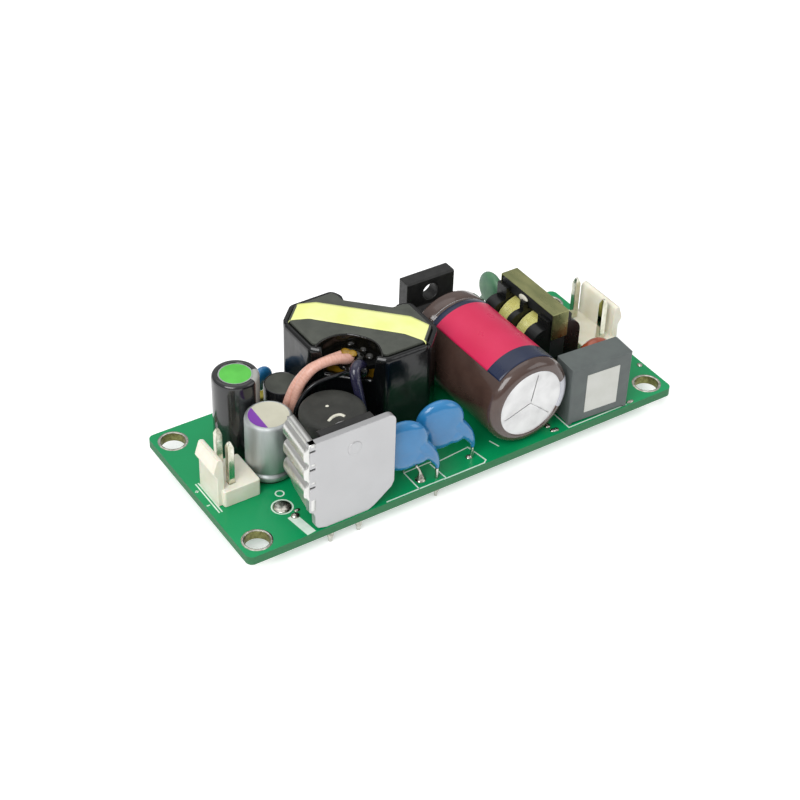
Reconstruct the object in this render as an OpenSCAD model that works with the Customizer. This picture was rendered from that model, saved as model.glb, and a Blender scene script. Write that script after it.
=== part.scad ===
// Open frame power supply: one board with all its parts standing on it.
// Millimetres, +Z up. The origin is the centre of the four mounting holes on
// the underside of the board, and +X runs towards the input header.

/* [Board] */
// Length of the board
board_l = 86.4; // [86:0.1:92]
// Width of the board
board_w = 35.6; // [35.6:0.1:40]
// Thickness of the board
board_t = 1.6; // [1.2:0.1:2]
// Radius of the board's corners
board_r = 1.2; // [0.2:0.1:2.5]
// Distance of each mounting hole from both edges
hole_inset = 3.3; // [3:0.1:3.4]
// Clear diameter of a mounting hole
hole_d = 4.2; // [3:0.1:4.4]
// Outer diameter of the plated ring round a mounting hole
ring_d = 5.2; // [5:0.1:5.8]
// How far the trimmed leads reach below the board
lead_drop = 2.2; // [2:0.1:3]

/* [Headers] */
// Pitch of the two output pins
output_pitch = 3.96; // [3.5:0.01:4.2]
// Distance between the two input pins
input_pitch = 7.92; // [7.5:0.01:8]
// Side of a square header pin
pin_s = 1.14; // [0.6:0.01:1.2]
// Height of a header's base block
header_h = 3.3; // [2.5:0.1:4]
// Height of the locking wall above the board
lock_h = 9.7; // [9:0.1:12]
// Height of the pins above the board
pin_h = 11.6; // [10:0.1:13]

/* [Capacitors] */
// Diameter of the bulk capacitor over its sleeve
bulk_d = 16.5; // [15:0.1:16.6]
// Length of the bulk capacitor
bulk_l = 25.1; // [20:0.1:25.3]
// Diameter of the two output capacitors
can_d = 8; // [6.3:0.1:8.2]
// Height of the sleeved output capacitor
filter_h = 15.4; // [10:0.1:18]
// Height of the polymer output capacitor
polymer_h = 12; // [9:0.1:14]
// Diameter of a safety disc capacitor
disc_d = 8.6; // [7:0.1:9]
// Thickness of a safety disc capacitor
disc_t = 2.8; // [2:0.1:3]
// Length of the film capacitor's box
film_l = 12.4; // [10:0.1:12.6]
// Depth of the film capacitor's box
film_w = 5.1; // [4:0.1:5.2]
// Height of the film capacitor's box
film_h = 11.8; // [9:0.1:14]

/* [Transformer] */
// Side of the core's square outline
core_s = 19.8; // [19:0.1:19.9]
// Length of the core over its two legs
core_l = 23.5; // [22.5:0.1:23.8]
// Height of the two core halves together
core_h = 16.4; // [15:0.1:18]
// Wall of the band round the core
band_t = 0.95; // [0.5:0.05:1]

/* [Heat sink] */
// Thickness of the heat sink's sheet
sheet_t = 1.2; // [0.8:0.1:1.3]
// Height of the heat sink above the board
sink_h = 18.2; // [17.5:0.1:22]
// Width of its front plate
sink_w = 16; // [15.5:0.1:16.2]
// Length of its ribbed wing, with the front plate
wing_l = 8.2; // [6:0.1:8.4]
// Pitch of the ribs
rib_pitch = 3.7; // [3:0.1:3.8]

/* [Common-mode choke] */
// Length of the choke over its core
choke_l = 15; // [14.5:0.1:15.4]
// Height of the choke above the board
choke_h = 14.8; // [14:0.1:17]
// Diameter of its two windings
coil_d = 9.8; // [8:0.1:9.9]

/* [Hidden] */
$fn = 48;
top = board_t;
tip = -lead_drop;
hx = board_l / 2 - hole_inset;
hy = board_w / 2 - hole_inset;
wire_d = 0.6;
leg_d = 0.8;

// Headers: each stands on its end of the board with its wall outwards
pin_x = 38.35;
output_y = -1.2;
input_y = 1.6;

// Capacitors
filter_at = [-31.15, 7.7];
polymer_at = [-29.7, -0.7];
bulk_at = [11.85, -16.9, top + bulk_d / 2 + 0.1];
bulk_turn = 1;
bulk_pitch = 7.5;
disc_turn = -13;
right_disc = [-4.8, -13.85, 10.9];
left_disc = [-12.9, -15.25, 10.8];
right_legs = [-6.2, 6.2];
left_legs = [-4.6, 6.2];
disc_drop = 7;
film_at = [26.7, -14.75];
film_turn = -3.4;

// Transformer: u runs over the core's two legs, v out of its two openings
core_at = [-8.1, 6];
core_z = 3.5;
core_top = core_z + core_h;
plate_t = 2.5;
post_d = 8.4;
coil_z = core_z + plate_t;
coil_h = core_h - 2 * plate_t;
function uv(u, v) = [core_at.x + (u + v) / sqrt(2), core_at.y + (v - u) / sqrt(2)];

// Heat sink and the package bolted to it
sink_at = [-32, -17.65];
rect_at = [-23.7, sink_at.y + sheet_t];
rivet_z = 15.9;

// Wound parts
drum_at = [-20.9, -6.3];
drum_d = 11.2;
drum_h = 13.4;
bead_at = [-22.6, 7.2];
bead_d = 6.4;
bead_h = 10.4;
choke_at = [26.2, 2.4];
coil_z0 = 6.6;

// Discs and the standing package
varistor_at = [32.2, -8.4, 6.7];
varistor_d = 7.5;
thermistor_at = [25.5, 14.05, 10.2];
thermistor_d = 6.8;
mosfet_at = [11.3, 15.9];
blue_at = [-22, 15.4];
yellow_at = [-22.9, 12.8];

// Where each lead goes through the board
function along(c, a, s) = [c.x + s * cos(a), c.y + s * sin(a)];
disc_feet = concat([for (s = right_legs) along(right_disc, disc_turn, s)],
    [for (s = left_legs) along(left_disc, disc_turn, s)]);
film_feet = [for (s = [1, -1]) along(film_at, film_turn, s * 5)];
bulk_feet = [for (s = [-0.5, 0.5]) [bulk_at.x - 0.45 + s * bulk_pitch, 10]];
core_feet = [for (s = [-1, 1], i = [-1.5 : 1.5]) uv(i * 2.54, s * 8)];
rect_feet = [for (i = [-1 : 1]) [rect_at.x + i * 2.54, rect_at.y + 2.6]];
mosfet_feet = [for (i = [-1 : 1]) [mosfet_at.x + i * 2.54, mosfet_at.y - 2.4]];
choke_feet = [for (x = [-4, 4], y = [-6.3, 6.3]) [choke_at.x + x, choke_at.y + y]];
can_feet = [for (c = [filter_at, polymer_at], s = [-1.75, 1.75]) [c.x, c.y + s]];
drum_feet = [for (s = [-3, 3]) [drum_at.x + s, drum_at.y]];
bead_feet = [for (s = [-1.6, 1.6]) [bead_at.x + s, bead_at.y]];
varistor_feet = [for (s = [-2.5, 2.5]) [varistor_at.x + s, varistor_at.y]];
thermistor_feet = [for (s = [-2.5, 2.5]) [thermistor_at.x, thermistor_at.y + s]];
blue_feet = [for (s = [-1.27, 1.27]) [blue_at.x + s, blue_at.y]];
yellow_feet = [for (s = [-1.5, 1.5]) [yellow_at.x + s, yellow_at.y]];
sink_feet = [for (x = [4.2, 9.6]) [sink_at.x + x, sink_at.y + sheet_t / 2]];
lead_feet = [[-23.6, 2.2], [-24.6, 3.5], [-14.9, -8.4], [-24.4, 0.4]];
thin_feet = concat(disc_feet, can_feet, drum_feet, bead_feet, varistor_feet, thermistor_feet,
    blue_feet, yellow_feet, lead_feet);
thick_feet = concat(film_feet, bulk_feet, core_feet, rect_feet, mosfet_feet, choke_feet);
pin_feet = concat([for (s = [-0.5, 0.5]) [-pin_x, output_y + s * output_pitch]],
    [for (s = [-0.5, 0.5]) [pin_x, input_y + s * input_pitch]]);

// ---- shared shapes ----
module pill(l, w, r) {
    square([l - 2 * r, w], center = true);
    square([l, w - 2 * r], center = true);
    for (x = [-1, 1], y = [-1, 1]) translate([x * (l / 2 - r), y * (w / 2 - r)]) circle(r);
}

module block(l, w, h, r) { linear_extrude(h) pill(l, w, r); }

module rod(p, z0, z1, d) { translate([p.x, p.y, z0]) cylinder(h = z1 - z0, d = d); }

// Can with a rounded upper edge
module round_top(d, h, r) {
    rotate_extrude() {
        square([d / 2, h - r]);
        square([d / 2 - r, h]);
        intersection() {
            translate([d / 2 - r, h - r]) circle(r);
            square([d, h]);
        }
    }
}

// A tube swept along points, with one radius or one for each point
function unit(v) = v / norm(v);
function ring(p, t, r, n, ref) =
    let (a = unit(cross(t, ref)), b = cross(a, t))
    [for (i = [0 : n - 1]) p + r * (cos(360 * i / n) * a + sin(360 * i / n) * b)];

module sweep(path, r, ref = [0.3, 1, 0.2], n = 10) {
    k = len(path);
    points = [for (i = [0 : k - 1])
        each ring(path[i], unit(path[min(i + 1, k - 1)] - path[max(i - 1, 0)]),
            is_list(r) ? r[i] : r, n, ref)];
    sides = [for (i = [0 : k - 2], j = [0 : n - 1])
        [i * n + j, i * n + (j + 1) % n, (i + 1) * n + (j + 1) % n, (i + 1) * n + j]];
    polyhedron(points, concat(sides, [[for (j = [n - 1 : -1 : 0]) j]],
        [[for (j = [0 : n - 1]) (k - 1) * n + j]]), convexity = 6);
}

// ---- board ----
module board() {
    color("seagreen") difference() {
        block(board_l, board_w, board_t, board_r);
        for (x = [-hx, hx], y = [-hy, hy]) rod([x, y], -1, board_t + 1, hole_d + 0.3);
        for (p = thin_feet) rod(p, -1, board_t + 1, wire_d);
        for (p = concat(thick_feet, sink_feet)) rod(p, -1, board_t + 1, leg_d);
        for (p = pin_feet) translate([p.x - pin_s / 2, p.y - pin_s / 2, -1])
            cube([pin_s, pin_s, board_t + 2]);
    }
}

module mounting_pads() {
    color("silver") for (x = [-hx, hx], y = [-hy, hy]) translate([x, y, 0]) difference() {
        union() {
            translate([0, 0, -0.08]) cylinder(h = 0.08, d = ring_d);
            cylinder(h = board_t, d = hole_d + 0.3);
            translate([0, 0, board_t]) cylinder(h = 0.08, d = ring_d);
        }
        translate([0, 0, -1]) cylinder(h = board_t + 2, d = hole_d);
    }
}

module joint(p, d, base) {
    translate([p.x, p.y, -1.3]) difference() {
        cylinder(h = 1.3, d1 = d + 0.25, d2 = base);
        translate([0, 0, -1]) cylinder(h = 4, d = d);
    }
}

module solder_joints() {
    color("gainsboro") {
        for (p = thin_feet) joint(p, wire_d, 1.9);
        for (p = thick_feet) joint(p, leg_d, 2.2);
        for (p = sink_feet) joint(p, leg_d, 1.4);
        for (p = pin_feet) translate([p.x, p.y, -1.3]) difference() {
            cylinder(h = 1.3, d1 = 1.9, d2 = 2.8);
            translate([-pin_s / 2, -pin_s / 2, -1]) cube([pin_s, pin_s, 4]);
        }
    }
}

// ---- headers: base block and the hooked wall of a friction lock ----
module header(feet, block_y, wall_y) {
    difference() {
        union() {
            translate([-1.1, (block_y[0] + block_y[1]) / 2, 0])
                block(6.7, block_y[1] - block_y[0], header_h, 0.4);
            translate([0, wall_y[1], 0]) rotate([90, 0, 0]) linear_extrude(wall_y[1] - wall_y[0])
                polygon([[1.75, 0], [3.05, 0], [3.05, lock_h - 3.9], [3.75, lock_h - 2.6],
                    [2.95, lock_h - 0.1], [2.6, lock_h], [2.05, lock_h - 0.2], [1.75, lock_h - 0.8]]);
        }
        for (y = feet) translate([-pin_s / 2, y - pin_s / 2, -1]) cube([pin_s, pin_s, header_h + 2]);
    }
}

module header_pin(p) {
    translate([p.x - pin_s / 2, p.y - pin_s / 2, tip]) cube([pin_s, pin_s, top + pin_h - 1 - tip]);
    translate([p.x, p.y, top + pin_h - 1]) linear_extrude(1, scale = 0.4) square(pin_s, center = true);
}

module output_header() {
    color("ivory") translate([-pin_x, 0, top]) mirror([1, 0, 0])
        header([for (i = [0, 1]) pin_feet[i].y], [-5.2, 2.6], [-4.4, 2]);
}

module input_header() {
    color("ivory") translate([pin_x, 0, top])
        header([for (i = [2, 3]) pin_feet[i].y], [-4.3, 7.5], [-3.6, 6.3]);
}

module output_pins() { color("silver") for (i = [0, 1]) header_pin(pin_feet[i]); }

module input_pins() { color("silver") for (i = [2, 3]) header_pin(pin_feet[i]); }

// ---- output capacitors ----
module filter_cap_can() {
    color("silver") translate([filter_at.x, filter_at.y, top]) difference() {
        translate([0, 0, 0.3]) round_top(can_d - 0.5, filter_h - 0.3, 0.5);
        for (s = [-1.75, 1.75]) translate([0, s, 0]) cylinder(h = 1, d = wire_d);
    }
}

module filter_cap_sleeve() {
    color("dimgray") translate([filter_at.x, filter_at.y, top]) difference() {
        translate([0, 0, 0.1]) round_top(can_d, filter_h + 0.1, 0.7);
        translate([0, 0, 0.3]) round_top(can_d - 0.5, filter_h - 0.3, 0.5);
        translate([0, 0, -1]) cylinder(h = 3, d = can_d - 1.6);
    }
}

module filter_cap_label() {
    color("limegreen") translate([filter_at.x, filter_at.y, top + filter_h + 0.2])
        cylinder(h = 0.08, d = 5.5);
}

module polymer_cap_can() {
    color("lightsteelblue") translate([polymer_at.x, polymer_at.y, top]) difference() {
        union() {
            translate([0, 0, 2.4]) round_top(can_d + 0.1, polymer_h - 2.4, 0.8);
            translate([0, 0, 1.5]) cylinder(h = 2, d = can_d - 0.7);
            translate([0, 0, 0.7]) cylinder(h = 1, d = can_d + 0.1);
        }
        translate([0, 0, -1]) cylinder(h = 2.9, d = can_d - 1.2);
    }
}

module polymer_cap_bung() {
    color("black") translate([polymer_at.x, polymer_at.y, top]) difference() {
        cylinder(h = 1.9, d = can_d - 1.2);
        for (s = [-1.75, 1.75]) translate([0, s, -1]) cylinder(h = 2.2, d = wire_d);
    }
}

// ---- bulk capacitor, lying along the board ----
module along_bulk() { translate(bulk_at) rotate([-90, 0, bulk_turn]) children(); }

module round_face(d, h, r) { translate([0, 0, h]) rotate([180, 0, 0]) round_top(d, h, r); }

module bulk_core() { translate([0, 0, 0.2]) round_face(bulk_d - 0.5, bulk_l - 0.45, 1.6); }

module bulk_cap_can() {
    color("silver") along_bulk() difference() {
        bulk_core();
        for (a = [72, 192, 312]) rotate([0, 0, a]) translate([-0.1, -0.1, 0]) cube([0.2, bulk_d / 2 - 2.6, 0.45]);
        translate([0, 0, bulk_l - 4]) difference() {
            cylinder(h = 1, d = bulk_d);
            cylinder(h = 1, d = bulk_d - 1.8);
        }
        translate([0, 0, bulk_l - 1.9]) cylinder(h = 3, d = bulk_d - 2.6);
    }
}

module bulk_cap_sleeve() {
    color("saddlebrown") along_bulk() difference() {
        round_face(bulk_d, bulk_l, 1.85);
        bulk_core();
        translate([0, 0, -1]) cylinder(h = 3, d = bulk_d - 3.8);
        translate([0, 0, bulk_l - 2]) cylinder(h = 3, d = bulk_d - 2.2);
    }
}

module bulk_cap_bung() {
    color("black") along_bulk() translate([0, 0, bulk_l - 1.9]) difference() {
        cylinder(h = 1.4, d = bulk_d - 2.6);
        for (s = [-0.5, 0.5]) translate([s * bulk_pitch, 0, 0.6]) cylinder(h = 2, d = leg_d + 0.1);
    }
}

// Printed film from the left side over the top to the upper right
module bulk_cap_label() {
    color("mediumvioletred") along_bulk() translate([0, 0, 1.9]) linear_extrude(19.6)
        intersection() {
            difference() {
                circle(d = bulk_d + 0.16);
                circle(d = bulk_d);
            }
            polygon([[0, 0], [12 * cos(50), -12 * sin(50)], [4, -14], [-4, -14],
                [12 * cos(135), -12 * sin(135)]]);
        }
}

module bulk_cap_legs() {
    color("silver") for (i = [0, 1]) let (p = bulk_feet[i], y = bulk_at.y + bulk_l) {
        translate([p.x, y - 1.2, bulk_at.z]) rotate([-90, 0, 0]) cylinder(h = 10 - y + 1.2, d = leg_d - 0.1);
        translate([p.x, p.y, bulk_at.z]) sphere(d = leg_d);
        rod(p, tip, bulk_at.z, leg_d);
    }
}

// ---- transformer ----
module turned(z = 0) { translate([core_at.x, core_at.y, z]) rotate([0, 0, -45]) children(); }

// Square outline cut off over the legs and bowed at the openings
module core_outline(grow) {
    intersection() {
        rotate([0, 0, 45]) square(core_s + 2 * grow, center = true);
        square([core_l + 2 * grow, 30], center = true);
        union() {
            square([30, 12 + 2 * grow], center = true);
            intersection() {
                translate([0, -6.5]) circle(14.1 + grow);
                translate([0, 6.5]) circle(14.1 + grow);
            }
        }
    }
}

module core_plate() {
    difference() {
        core_outline(0);
        translate([0, 15.5]) circle(9);
        translate([0, -9.1]) circle(5.8);
    }
}

module transformer_core() {
    color([0.3, 0.3, 0.3]) turned(core_z) {
        for (z = [0, core_h - plate_t]) translate([0, 0, z]) linear_extrude(plate_t) core_plate();
        linear_extrude(core_h) difference() {
            core_outline(0);
            circle(8.7);
            translate([0, 15.5]) circle(9);
            translate([0, -9.1]) circle(5.8);
        }
        difference() {
            cylinder(h = core_h, d = post_d);
            translate([0, -9.1, -1]) cylinder(h = core_h + 2, d = 11.6);
        }
    }
}

module transformer_bobbin() {
    color([0.12, 0.12, 0.12]) turned() difference() {
        union() {
            translate([0, 0, coil_z]) cylinder(h = coil_h - 0.9, d = post_d + 1.2);
            translate([0, 0, coil_z]) cylinder(h = 0.8, d = 15.2);
            translate([0, 0, coil_z + coil_h - 1.7]) cylinder(h = 0.8, d = 15.2);
            translate([0, 0, top]) block(12.4, 18.6, core_z - top - 0.05, 0.6);
            for (s = [-1, 1]) translate([-2.2, s * 7.25 - 0.3, core_z - 0.3])
                cube([4.4, 0.6, plate_t + 0.5]);
        }
        translate([0, 0, coil_z - 1]) cylinder(h = coil_h + 2, d = post_d);
        translate([0, 0, top - 1]) block(8, 8, core_z - top + 0.9, 1);
        for (s = [-1, 1], i = [-1.5 : 1.5]) translate([i * 2.54, s * 8, 0]) cylinder(h = 3, d = leg_d);
    }
}

module transformer_winding() {
    color("khaki") turned(coil_z + 0.8) difference() {
        cylinder(h = coil_h - 2.5, d = 14.9);
        translate([0, 0, -1]) cylinder(h = coil_h, d = post_d + 1.2);
    }
}

module transformer_band() {
    color([0.15, 0.15, 0.15]) turned() difference() {
        translate([0, 0, core_z]) linear_extrude(core_h - 0.8) difference() {
            core_outline(0.15 + band_t);
            core_outline(0.15);
        }
        translate([-4, -12, core_top - 5.4]) cube([8, 6, 6]);
        translate([-6.2, 5, core_top - 2.9]) cube([12.4, 6, 6]);
    }
}

// One strip over the core, its two ends folded down inside the band
module transformer_tape() {
    color([0.95, 0.95, 0.6]) turned() {
        translate([0, 0, core_top]) linear_extrude(0.12)
            polygon([[-core_l / 2 - 0.1, -2.4], [-core_l / 2 - 0.1, 2.6], [-9.2, 4], [8.4, 3.9],
                [core_l / 2 + 0.1, 2], [core_l / 2 + 0.1, -2.6], [8, -1.3], [-8.6, -1]]);
        for (s = [-1, 1]) translate([s * (core_l / 2 + 0.05) - 0.05, -1.9, core_top - 7])
            cube([0.1, 3.8, 7.05]);
    }
}

module transformer_pins() { color("silver") for (p = core_feet) rod(p, tip, 3, leg_d); }

// Sleeved leads from the near opening down into the board
module secondary_leads() {
    color("lightsalmon") {
        sweep([[-13.3, 1, 17.4], [-14.2, 0.8, 17.9], [-15.6, 0.7, 18.6], [-17.6, 0.7, 18.9], [-19.6, 0.9, 18.6],
            [-21.2, 1.1, 17.5], [-22.4, 1.4, 15.6], [-23.2, 1.8, 12.8], [-23.5, 2.1, 9.3], [-23.6, 2.2, 5.5],
            [-23.6, 2.2, top]], 0.8);
        sweep([[-13.6, 2.6, 17.35], [-14.8, 2.4, 17.4], [-16.2, 2.3, 17.5], [-18, 2.3, 17.4],
            [-19.8, 2.5, 17], [-21.3, 2.7, 15.9], [-22.7, 3, 14], [-23.8, 3.3, 11.3], [-24.4, 3.5, 8.2],
            [-24.6, 3.5, 5], [-24.6, 3.5, top]], 0.8);
    }
}

module primary_lead() {
    color([0.3, 0.25, 0.4])
        sweep([[-12.3, -1.3, 17.5], [-13.4, -2, 18.3], [-14.5, -2.8, 18.2], [-14.8, -3.5, 16.9], [-14.65, -4.3, 14.4],
            [-14.5, -5.4, 11], [-14.5, -6.9, 7], [-14.9, -8.4, 3.6], [-14.9, -8.4, top]],
            [0.9, 0.9, 0.88, 0.85, 0.8, 0.76, 0.7, 0.55, 0.5]);
}

module shield_lead() {
    color([0.1, 0.1, 0.1])
        sweep([[-14.2, -0.6, 16.1], [-15, -0.7, 16.4], [-16.6, -0.8, 16.6], [-19, -0.7, 16.6], [-21.3, -0.4, 15.9],
            [-23, 0, 13.9], [-24.1, 0.3, 11], [-24.4, 0.4, 6], [-24.4, 0.4, top]], 0.35, n = 8);
}

// ---- heat sink ----
module sink_front() {
    difference() {
        union() {
            polygon([[0, sink_h], [sink_w - 1.4, sink_h], [sink_w - 1.4, sink_h - 1.4], [sink_w, sink_h - 1.4],
                [sink_w, 4.3], [sink_w - 0.5, 3.2], [12.2, 0.6], [11, 0], [3.2, 0], [1.6, 0.5], [1.1, 1.2],
                [1, 3.2], [0.7, 4], [0, 4.4]]);
            translate([sink_w - 1.4, sink_h - 1.4]) circle(1.4);
        }
        for (i = [0 : 2]) translate([-1, sink_h - 1.55 - i * rib_pitch]) square([2.1, 0.3]);
        translate([rect_at.x - sink_at.x, rivet_z - top]) circle(d = 2.2);
    }
}

module heat_sink() {
    color([0.85, 0.85, 0.86]) {
        translate([sink_at.x, sink_at.y, top]) {
            translate([0, sheet_t, 0]) rotate([90, 0, 0]) linear_extrude(sheet_t) sink_front();
            rotate([90, 0, 90]) linear_extrude(sheet_t) polygon([[sheet_t - 0.01, 4.6], [wing_l - 1.8, 5.4],
                [wing_l, 7], [wing_l, sink_h], [sheet_t - 0.01, sink_h]]);
            for (i = [0 : 2]) translate([0, wing_l, sink_h - 1.1 - i * rib_pitch]) rotate([90, 0, 0])
                linear_extrude(wing_l - 0.7) polygon([[0, 0.5], [-0.75, 0.4], [-1.1, 0], [-1.2, -1.2],
                    [-0.95, -2.1], [-0.4, -2.7], [0, -2.9], [0.3, -2.9], [0.3, 0.5]]);
        }
        for (p = sink_feet) rod(p, tip, top + 0.3, leg_d);
    }
}

// Full-pack power package: flat back at y = 0, thin collar with the hole on top
module power_pack(z, h) {
    difference() {
        translate([-5, 0, z]) rotate([90, 0, 90]) linear_extrude(10)
            polygon([[0, 0], [4.2, 0], [4.5, 0.4], [4.5, h - 6.4], [2.7, h - 5.4], [2.7, h - 0.3],
                [2.4, h], [0, h]]);
        translate([0, -1, z + h - 3]) rotate([-90, 0, 0]) cylinder(h = 10, d = 3.2);
    }
}

module output_rectifier() {
    color([0.15, 0.15, 0.15]) translate([rect_at.x, rect_at.y, 0]) power_pack(4, rivet_z - 1);
}

module rectifier_legs() { color("silver") for (p = rect_feet) rod(p, tip, 4, leg_d); }

module rivet() {
    color("gainsboro") translate([rect_at.x, sink_at.y - 0.12, rivet_z]) rotate([-90, 0, 0]) {
        cylinder(h = 0.12, d = 2.65);
        cylinder(h = 4.6, d = 2.2);
        translate([0, 0, sheet_t + 2.82]) cylinder(h = 0.9, d = 4.6);
    }
}

// ---- wound parts ----
module output_choke() {
    color([0.25, 0.25, 0.25]) translate([drum_at.x, drum_at.y, top]) round_top(drum_d, drum_h, 1.1);
}

module bead_choke_core() {
    color([0.35, 0.35, 0.35]) translate([bead_at.x, bead_at.y, top]) rotate_extrude() {
        square([bead_d / 2 - 0.25, 1.4]);
        square([1.5, bead_h]);
        translate([0, bead_h - 1.6]) square([bead_d / 2 - 0.25, 1.6]);
    }
}

module bead_choke_winding() {
    color("peru") translate([bead_at.x, bead_at.y, top + 1.4]) difference() {
        cylinder(h = bead_h - 3, d = bead_d - 0.9);
        translate([0, 0, -1]) cylinder(h = bead_h, d = 3);
    }
}

module bead_choke_sleeve() {
    color([0.12, 0.12, 0.12]) translate([bead_at.x, bead_at.y, top + 0.2]) difference() {
        cylinder(h = bead_h - 0.1, d = bead_d);
        translate([0, 0, -1]) cylinder(h = bead_h + 2, d = bead_d - 0.5);
    }
}

// ---- dipped discs: body with a rounded rim and two coated legs ----
module dipped_body(d, t) {
    translate([0, t / 2, 0]) rotate([90, 0, 0]) rotate_extrude() {
        square([d / 2 - t / 2, t]);
        translate([d / 2 - t / 2, t / 2]) circle(t / 2);
    }
}

module dipped_disc(d, t, pitch, drop) {
    leg_z = -d / 2 - drop;
    dipped_body(d, t);
    for (s = [-1, 1]) sweep([[s * (d / 2 - t / 2 - 0.5), 0, 0], [s * (pitch / 2 - 1.1), 0, -d / 2 + 1.6],
        [s * (pitch / 2 - 0.35), 0, -d / 2 + 0.4], [s * pitch / 2, 0, leg_z + 0.6], [s * pitch / 2, 0, leg_z]],
        [t / 2 - 0.1, t / 2 - 0.25, t / 2 - 0.6, 0.55, 0.38], ref = [0, 1, 0]);
}

// Bell shape: the coating runs down from the disc along both legs
module dipped_bell(legs) {
    dipped_body(disc_d, disc_t);
    translate([0, 0, -1.8]) dipped_body(disc_d - 0.8, disc_t - 0.1);
    for (x = legs) let (s = sign(x), m = abs(x)) sweep([[s * (m - 3.1), 0, -1.9], [s * (m - 1.8), 0, -3.2],
        [s * (m - 0.9), 0, -4.4], [s * (m - 0.3), 0, -5.5], [x, 0, -6.3], [x, 0, -disc_drop]],
        [1.2, 1.15, 0.95, 0.68, 0.45, 0.36], ref = [0, 1, 0]);
}

module right_disc_cap() {
    color("steelblue") translate(right_disc) rotate([0, 0, disc_turn]) dipped_bell(right_legs);
}

module left_disc_cap() {
    color("steelblue") translate(left_disc) rotate([0, 0, disc_turn]) dipped_bell(left_legs);
}

module varistor() {
    color("sienna") translate(varistor_at) dipped_disc(varistor_d, 3.6, 5, 0.6);
}

module thermistor() {
    color("seagreen") translate(thermistor_at) rotate([0, 0, 90]) dipped_disc(thermistor_d, 2.4, 5, 0.6);
}

// ---- film capacitor ----
module film_cap() {
    color([0.4, 0.42, 0.42]) translate([film_at.x, film_at.y, top]) rotate([0, 0, film_turn]) difference() {
        block(film_l, film_w, film_h, 0.35);
        for (a = [0, 90]) translate([0, 0, -1]) rotate([0, 0, a]) block(a == 0 ? film_l + 2 : film_w + 2,
            a == 0 ? film_w - 1.6 : film_l - 1.6, 1.35, 0.1);
        for (s = [-5, 5]) translate([s, 0, -1]) cylinder(h = 3, d = leg_d);
    }
}

module film_cap_label() {
    color("white") translate([film_at.x, film_at.y, top]) rotate([0, 0, film_turn])
        translate([-3.05, -film_w / 2 - 0.1, 1.9]) cube([6.7, 0.1, 7.95]);
}

// ---- common-mode choke: ring core through a bobbin with two windings ----
module coil_axis(y) { translate([choke_at.x, choke_at.y + y, top + coil_z0]) rotate([-90, 0, 0]) children(); }

module flange(y, t, h) {
    translate([choke_at.x, choke_at.y + y + t, top]) rotate([90, 0, 0]) linear_extrude(t) {
        translate([-0.4, h / 2]) pill(10.6, h, 2.6);
        translate([-0.4, 2]) pill(10.6, 4, 0.8);
        translate([-2.7, h / 2]) square([5.4, choke_h - 1.2 - h / 2]);
    }
}

module choke_bobbin() {
    end_t = 2.7;
    color([0.12, 0.12, 0.12]) difference() {
        union() {
            flange(-choke_l / 2 + 0.1, end_t, 12);
            flange(-0.6, 1.2, 11.7);
            flange(choke_l / 2 - 0.1 - end_t, end_t, 11);
            coil_axis(-choke_l / 2 + 1) cylinder(h = choke_l - 2, d = 6);
        }
        translate([choke_at.x, choke_at.y, top]) {
            translate([-1.6, -choke_l / 2 - 1, coil_z0 - 1.6]) cube([3.2, choke_l + 2, 3.2]);
            translate([-1.8, -choke_l / 2 - 1, choke_h - 2.7]) cube([3.6, choke_l + 2, 4]);
            for (s = [-1, 1]) translate([-1.6, s * (choke_l / 2 - 1.2) - 1.3, coil_z0]) cube([3.2, 2.6, 12]);
            for (x = [-4, 4], y = [-6.3, 6.3]) translate([x, y, -1]) cylinder(h = 3, d = leg_d);
        }
    }
}

module choke_windings() {
    color("khaki") for (y = [-choke_l / 2 + 2.9, 0.7]) coil_axis(y) difference() {
        cylinder(h = choke_l / 2 - 3.6, d = coil_d);
        translate([0, 0, -1]) cylinder(h = choke_l, d = 6);
    }
}

module choke_core() {
    color([0.22, 0.22, 0.22]) translate([choke_at.x - 1.6, choke_at.y - choke_l / 2, top]) difference() {
        translate([0, 0, coil_z0 - 1.6]) cube([3.2, choke_l, choke_h - coil_z0 + 1.4]);
        translate([-1, 2.4, coil_z0 + 1.6]) cube([6, choke_l - 4.8, choke_h - coil_z0 - 4.2]);
    }
}

// Spring clip over the core's upper bar, turned down at both ends
module choke_clip() {
    color([0.6, 0.6, 0.42]) translate([choke_at.x - 1.75, choke_at.y, top + choke_h]) rotate([90, 0, 90])
        linear_extrude(3.5) difference() {
            translate([-choke_l / 2 - 0.25, -5.4]) square([choke_l + 0.5, 5.4]);
            translate([-choke_l / 2, -6]) square([choke_l, 5.8]);
        }
}

module choke_pins() { color("silver") for (p = choke_feet) rod(p, tip, top + 2, leg_d); }

// ---- switching transistor, standing free behind the transformer ----
module switch_transistor() {
    color([0.18, 0.18, 0.18]) translate([mosfet_at.x, mosfet_at.y, 0]) rotate([0, 0, 180])
        power_pack(3.4, 14.8);
}

module transistor_legs() { color("silver") for (p = mosfet_feet) rod(p, tip, 3.4, leg_d); }

// ---- small parts ----
module blue_cap() {
    color("dodgerblue") translate([blue_at.x, blue_at.y, 7.4]) rotate([0, 0, 15]) dipped_disc(4.6, 2, 2.54, 0.3);
}

module yellow_cap() {
    color("khaki") translate([yellow_at.x, yellow_at.y, top + 0.2]) block(5, 2, 4.6, 0.5);
}

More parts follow.
